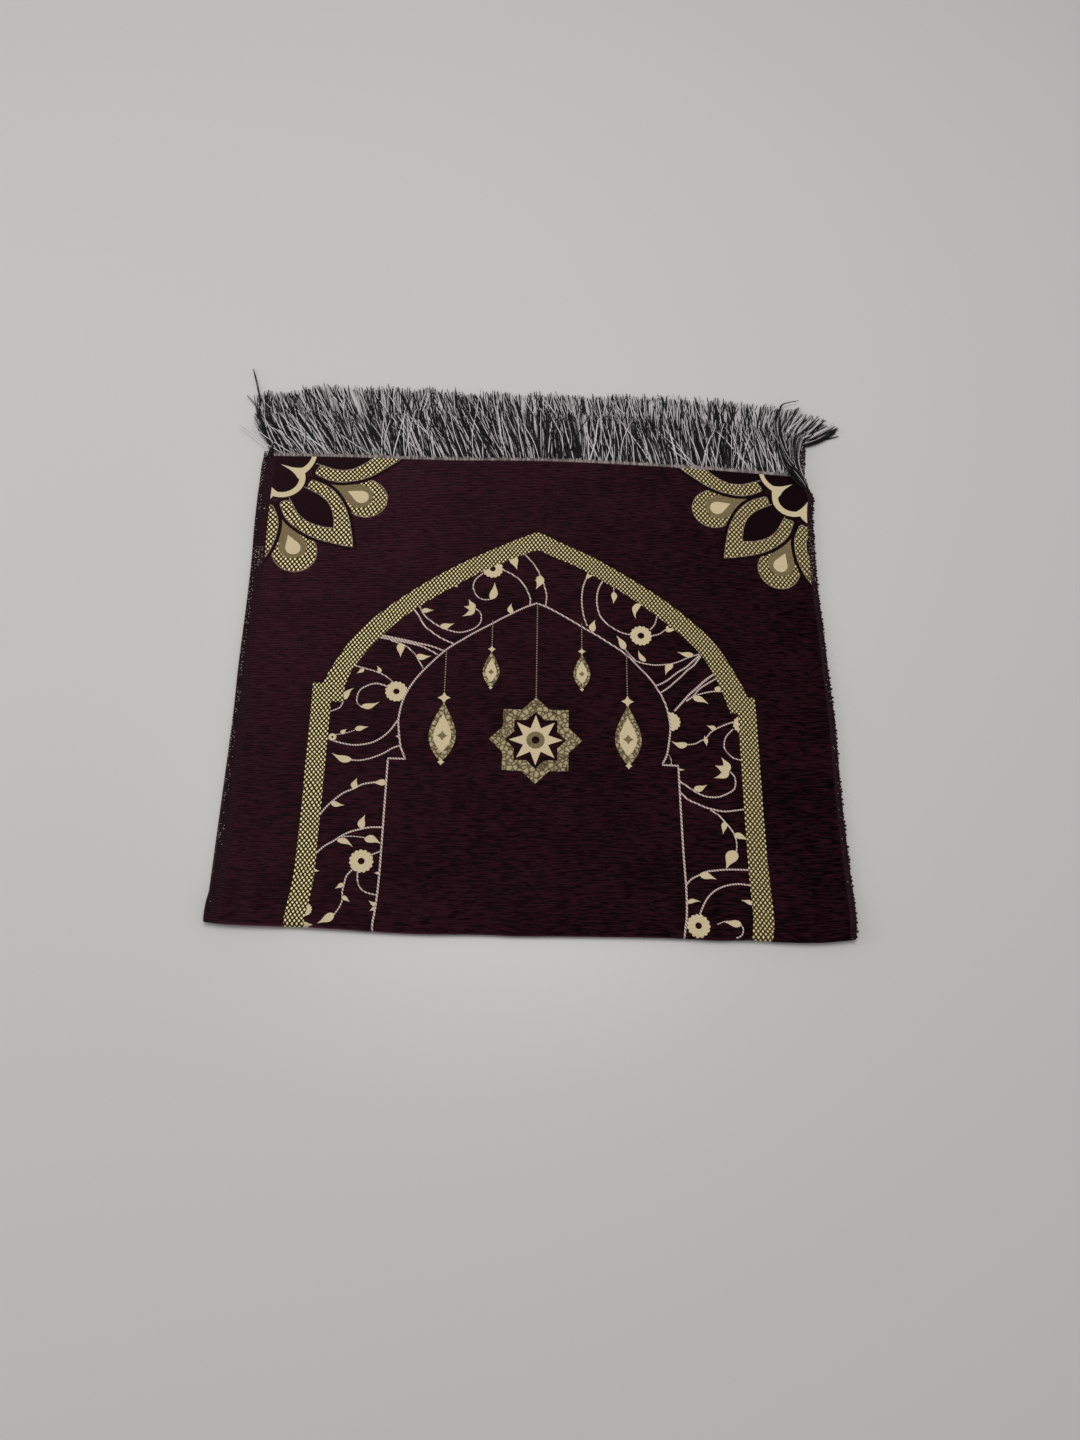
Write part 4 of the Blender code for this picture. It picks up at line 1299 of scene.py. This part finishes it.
def make_yarns(name, locks, reach, end, count, floor, depth, seed):
    """Yarns rooted along a tape, lying at a height above what is under them."""
    chance = np.random.default_rng(seed)
    across = reach[0] + (np.arange(count) + 0.5) / count * (reach[1] - reach[0])
    across = across + chance.normal(0, ROOT_STRAY, count)
    across = np.clip(across, reach[0] + ROOT_STRAY, reach[1] - ROOT_STRAY)
    root = tape_root(across, end)
    root[:, 1] += TAPE_GAP + TAPE_DEPTH * ROOT_SHARE
    borders = np.cumsum(chance.uniform(0.4, 1.6, int(2 * WIDTH / TUFT)) * TUFT) - WIDTH / 2
    tuft = np.searchsorted(borders, across)
    held = [one for one in range(tuft.max() + 1) if (tuft == one).any()]
    tuft_middle = np.array([root[tuft == one, 0].mean() for one in held])
    tuft = np.unique(tuft, return_inverse=True)[1]
    tufts = len(tuft_middle)
    stray = chance.random(count) < STRAYS

    def spread(widths):
        return chance.normal(0, widths[0], tufts)[tuft], chance.normal(0, widths[1], count)

    of_tuft, of_yarn = spread(LEAN_SPREAD)
    aside = np.clip(chance.normal(0, STRAY_SPREAD, count), -STRAY_LIMIT, STRAY_LIMIT)
    lean = np.radians(read(locks, "lean", root[:, 0]) + of_tuft + of_yarn + np.where(stray, aside, 0.0))
    bend = np.radians(sum(spread(BEND_SPREAD)))
    swing = np.radians(chance.normal(0, SWING_SPREAD, count))
    of_tuft, of_yarn = spread(LENGTH_SPREAD)
    length = read(locks, "length", root[:, 0]) + of_tuft + of_yarn
    black = chance.random(count) < DARK_SHARE
    level = np.where(stray, 1.0, chance.random(count))
    share = np.linspace(0, 1, YARN_STATIONS)[None]
    heading = lean[:, None] + bend[:, None] * (share - 0.35) + swing[:, None] * np.sin(math.tau * share)
    step = length[:, None] / (YARN_STATIONS - 1)
    x = root[:, 0, None] + np.cumsum(np.sin(heading) * step, axis=1) - np.sin(heading[:, :1]) * step
    y = root[:, 1, None] + np.cumsum(np.cos(heading) * step, axis=1) - np.cos(heading[:, :1]) * step
    drawn_in = np.where(stray, 0.0, GATHER) * (tuft_middle[tuft] - root[:, 0])
    x = x + drawn_in[:, None] * share ** 1.5
    rest = floor + YARN_RADIUS + depth * level[:, None] * (1 - 0.35 * share)
    root_z = root[:, 2, None] + TAPE_THICKNESS * 0.6 * (level[:, None] - 0.5)
    settle = smooth(share / YARN_SETTLE)
    arch = YARN_ARCH * level[:, None] * np.sin(math.pi * np.minimum(share / 0.5, 1.0))
    z = root_z * (1 - settle) + rest * settle + arch
    paths = np.stack([x, y, np.maximum(z, YARN_RADIUS)], axis=-1)
    radius = YARN_RADIUS * (1 + RADIUS_SPREAD * chance.normal(0, 1, (count, 1))) * (1.05 - 0.35 * share ** 3)
    # Painted shade: a yarn's tone follows its level, so the yarns that lie lower under the others are darker,
    # standing in for the shade between them.
    tones = np.clip(0.85 * level + chance.normal(0.05, 0.15, count), 0, 1)     # dim yarns lie low
    piece = tubes(name, paths, radius, (pale_yarn, black_yarn), sides=4, kinds=black.astype(int), tones=tones)
    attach(piece, "root")
    return piece


upper_yarns = make_yarns("yarns_upper", UPPER_LOCKS, UPPER_TAPE, UPPER_LENGTH, 1450, 0.0026, 0.0036, 51)
lower_yarns = make_yarns("yarns_lower", LOWER_LOCKS, LOWER_TAPE, -LOWER_LENGTH, 1300, 0.0, 0.0026, 53)
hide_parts("fringe_upper")
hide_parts("fringe_lower")


# Loose thread tails
# The overlock thread runs on past the cloth's corners as uncut tails, mostly black. They lie
# over the fringe and on the floor, and their ends fray out.
# how many threads, how many of them pale, and a route of places: x, y, height and spread
TAILS = table("threads pale route", (
    (72, 0.22, ((0.335, 0.268, 0.0066, 0.003), (0.3305, 0.2755, 0.0078, 0.0066),
     (0.323, 0.2868, 0.0084, 0.0074), (0.3148, 0.3009, 0.0088, 0.0072), (0.3088, 0.3182, 0.009, 0.0066),
     (0.3058, 0.3358, 0.0088, 0.006), (0.3046, 0.3537, 0.0084, 0.005), (0.306, 0.3719, 0.0078, 0.0046),
     (0.3096, 0.3859, 0.0068, 0.0045))),
    (46, 0.42, ((0.3342, 0.27, 0.0072, 0.0022), (0.3306, 0.28, 0.0086, 0.0038),
     (0.3262, 0.293, 0.0092, 0.005), (0.3236, 0.308, 0.0094, 0.0062), (0.3244, 0.325, 0.0092, 0.0086),
     (0.328, 0.342, 0.0084, 0.011), (0.332, 0.356, 0.0074, 0.012))),
    (5, 0, ((0.3096, 0.3859, 0.007, 0.0014), (0.3142, 0.3969, 0.0062, 0.0012),
     (0.3247, 0.4031, 0.005, 0.0005), (0.3377, 0.4076, 0.0038, 0.0003))),
    (27, 0.03, ((0.338, 0.336, 0.002, 0.002), (0.35, 0.3402, 0.0024, 0.0027),
     (0.3618, 0.3462, 0.0026, 0.0028), (0.3752, 0.3563, 0.0024, 0.0027), (0.388, 0.3672, 0.0018, 0.0028))),
    (14, 0.3, ((-0.3372, 0.279, 0.0064, 0.003), (-0.336, 0.288, 0.0068, 0.0026),
     (-0.3345, 0.295, 0.007, 0.002), (-0.333, 0.301, 0.007, 0.0008))),
    (16, 0.06, ((-0.35, 0.327, 0.0026, 0.002), (-0.3535, 0.334, 0.0028, 0.0018),
     (-0.3562, 0.346, 0.0028, 0.0014), (-0.3583, 0.36, 0.0024, 0.0012), (-0.3592, 0.3768, 0.002, 0.0008))),
    (5, 0, ((-0.3592, 0.373, 0.0022, 0.0008), (-0.3628, 0.3867, 0.0018, 0.001),
     (-0.3681, 0.4047, 0.0014, 0.001), (-0.3731, 0.4208, 0.001, 0.0004))),
    (1, 1, ((0.2884, 0.3732, 0.008, 0), (0.2938, 0.3614, 0.0092, 0), (0.2985, 0.3465, 0.0098, 0),
     (0.305, 0.33, 0.013, 0))),
))
TAIL_STATIONS = 14
TAIL_RADIUS = 0.00048
chance = np.random.default_rng(61)
share = np.linspace(0, 1, TAIL_STATIONS)
tail_paths, tail_kinds = [], []
for tail in TAILS:
    curve = through(tail.route, 0.004)
    line = np.stack([np.interp(share, np.linspace(0, 1, len(curve)), column) for column in curve.T], axis=1)
    for _ in range(tail.threads):
        angle = chance.uniform(0, math.tau) + chance.uniform(-2.5, 2.5) * share
        off = line[:, 3] * math.sqrt(chance.uniform(0.02, 1.0))
        ahead = np.gradient(line[:, :2], axis=0)
        ahead /= np.linalg.norm(ahead, axis=1, keepdims=True)
        path = line[:, :3].copy()
        path[:, 0] -= ahead[:, 1] * off * np.cos(angle)
        path[:, 1] += ahead[:, 0] * off * np.cos(angle)
        path[:, 2] = np.maximum(path[:, 2] + 0.45 * off * np.sin(angle), TAIL_RADIUS)
        shorter = chance.uniform(0.82, 1.0) if tail.threads > 3 else 1.0
        path = np.stack([np.interp(share * shorter, share, column) for column in path.T], axis=1)
        tail_paths.append(path)
        tail_kinds.append(int(chance.random() < tail.pale))
tails = tubes("thread_tails", tail_paths, TAIL_RADIUS * (1.1 - 0.4 * share), (black_yarn, pale_yarn),
              kinds=tail_kinds, tones=chance.random(len(tail_paths)))
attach(tails, "root")


# Floor and light
# A plain pale floor, a broad soft light above it and an even surround.
FLOOR_SIZE = 12.0
FLOOR_DROP = 0.0001         # the floor lies this much under the rug, so that the two don't flicker
floor_mesh = bpy.data.meshes.new("floor")
half = FLOOR_SIZE / 2
floor_mesh.from_pydata([(-half, -half, 0), (half, -half, 0), (half, half, 0), (-half, half, 0)], [],
                       [(0, 1, 2, 3)])
floor_finish = Finish("plain pale floor", {"Base Color": (0.60, 0.59, 0.58, 1.0), "Roughness": 0.30})
floor_mesh.materials.append(floor_finish.material)
floor = add_object("floor", floor_mesh)
floor.location = (0.0, 0.0, -FLOOR_DROP)

LAMPS = table("name place aim size power", (
    ("ceiling light", (0, 0.75, 2.4), (0, 0, 0), 1.3, 24),
    ("side light", (-2.4, 0.2, 1), (0, 0, 0), 1.4, 14),
))
for lamp in LAMPS:
    light = bpy.data.lights.new(lamp.name, "AREA")
    light.size = lamp.size
    light.energy = lamp.power
    holder = add_object(lamp.name, light)
    holder.location = lamp.place
    holder.rotation_euler = (Vector(lamp.aim) - Vector(lamp.place)).to_track_quat("-Z", "Y").to_euler()

world = bpy.data.worlds.new("even surround")
world.use_nodes = True
world.node_tree.nodes["Background"].inputs["Color"].default_value = (1.0, 0.99, 0.98, 1.0)
world.node_tree.nodes["Background"].inputs["Strength"].default_value = 0.45
bpy.context.scene.world = world
bpy.context.scene.view_settings.view_transform = "Standard"
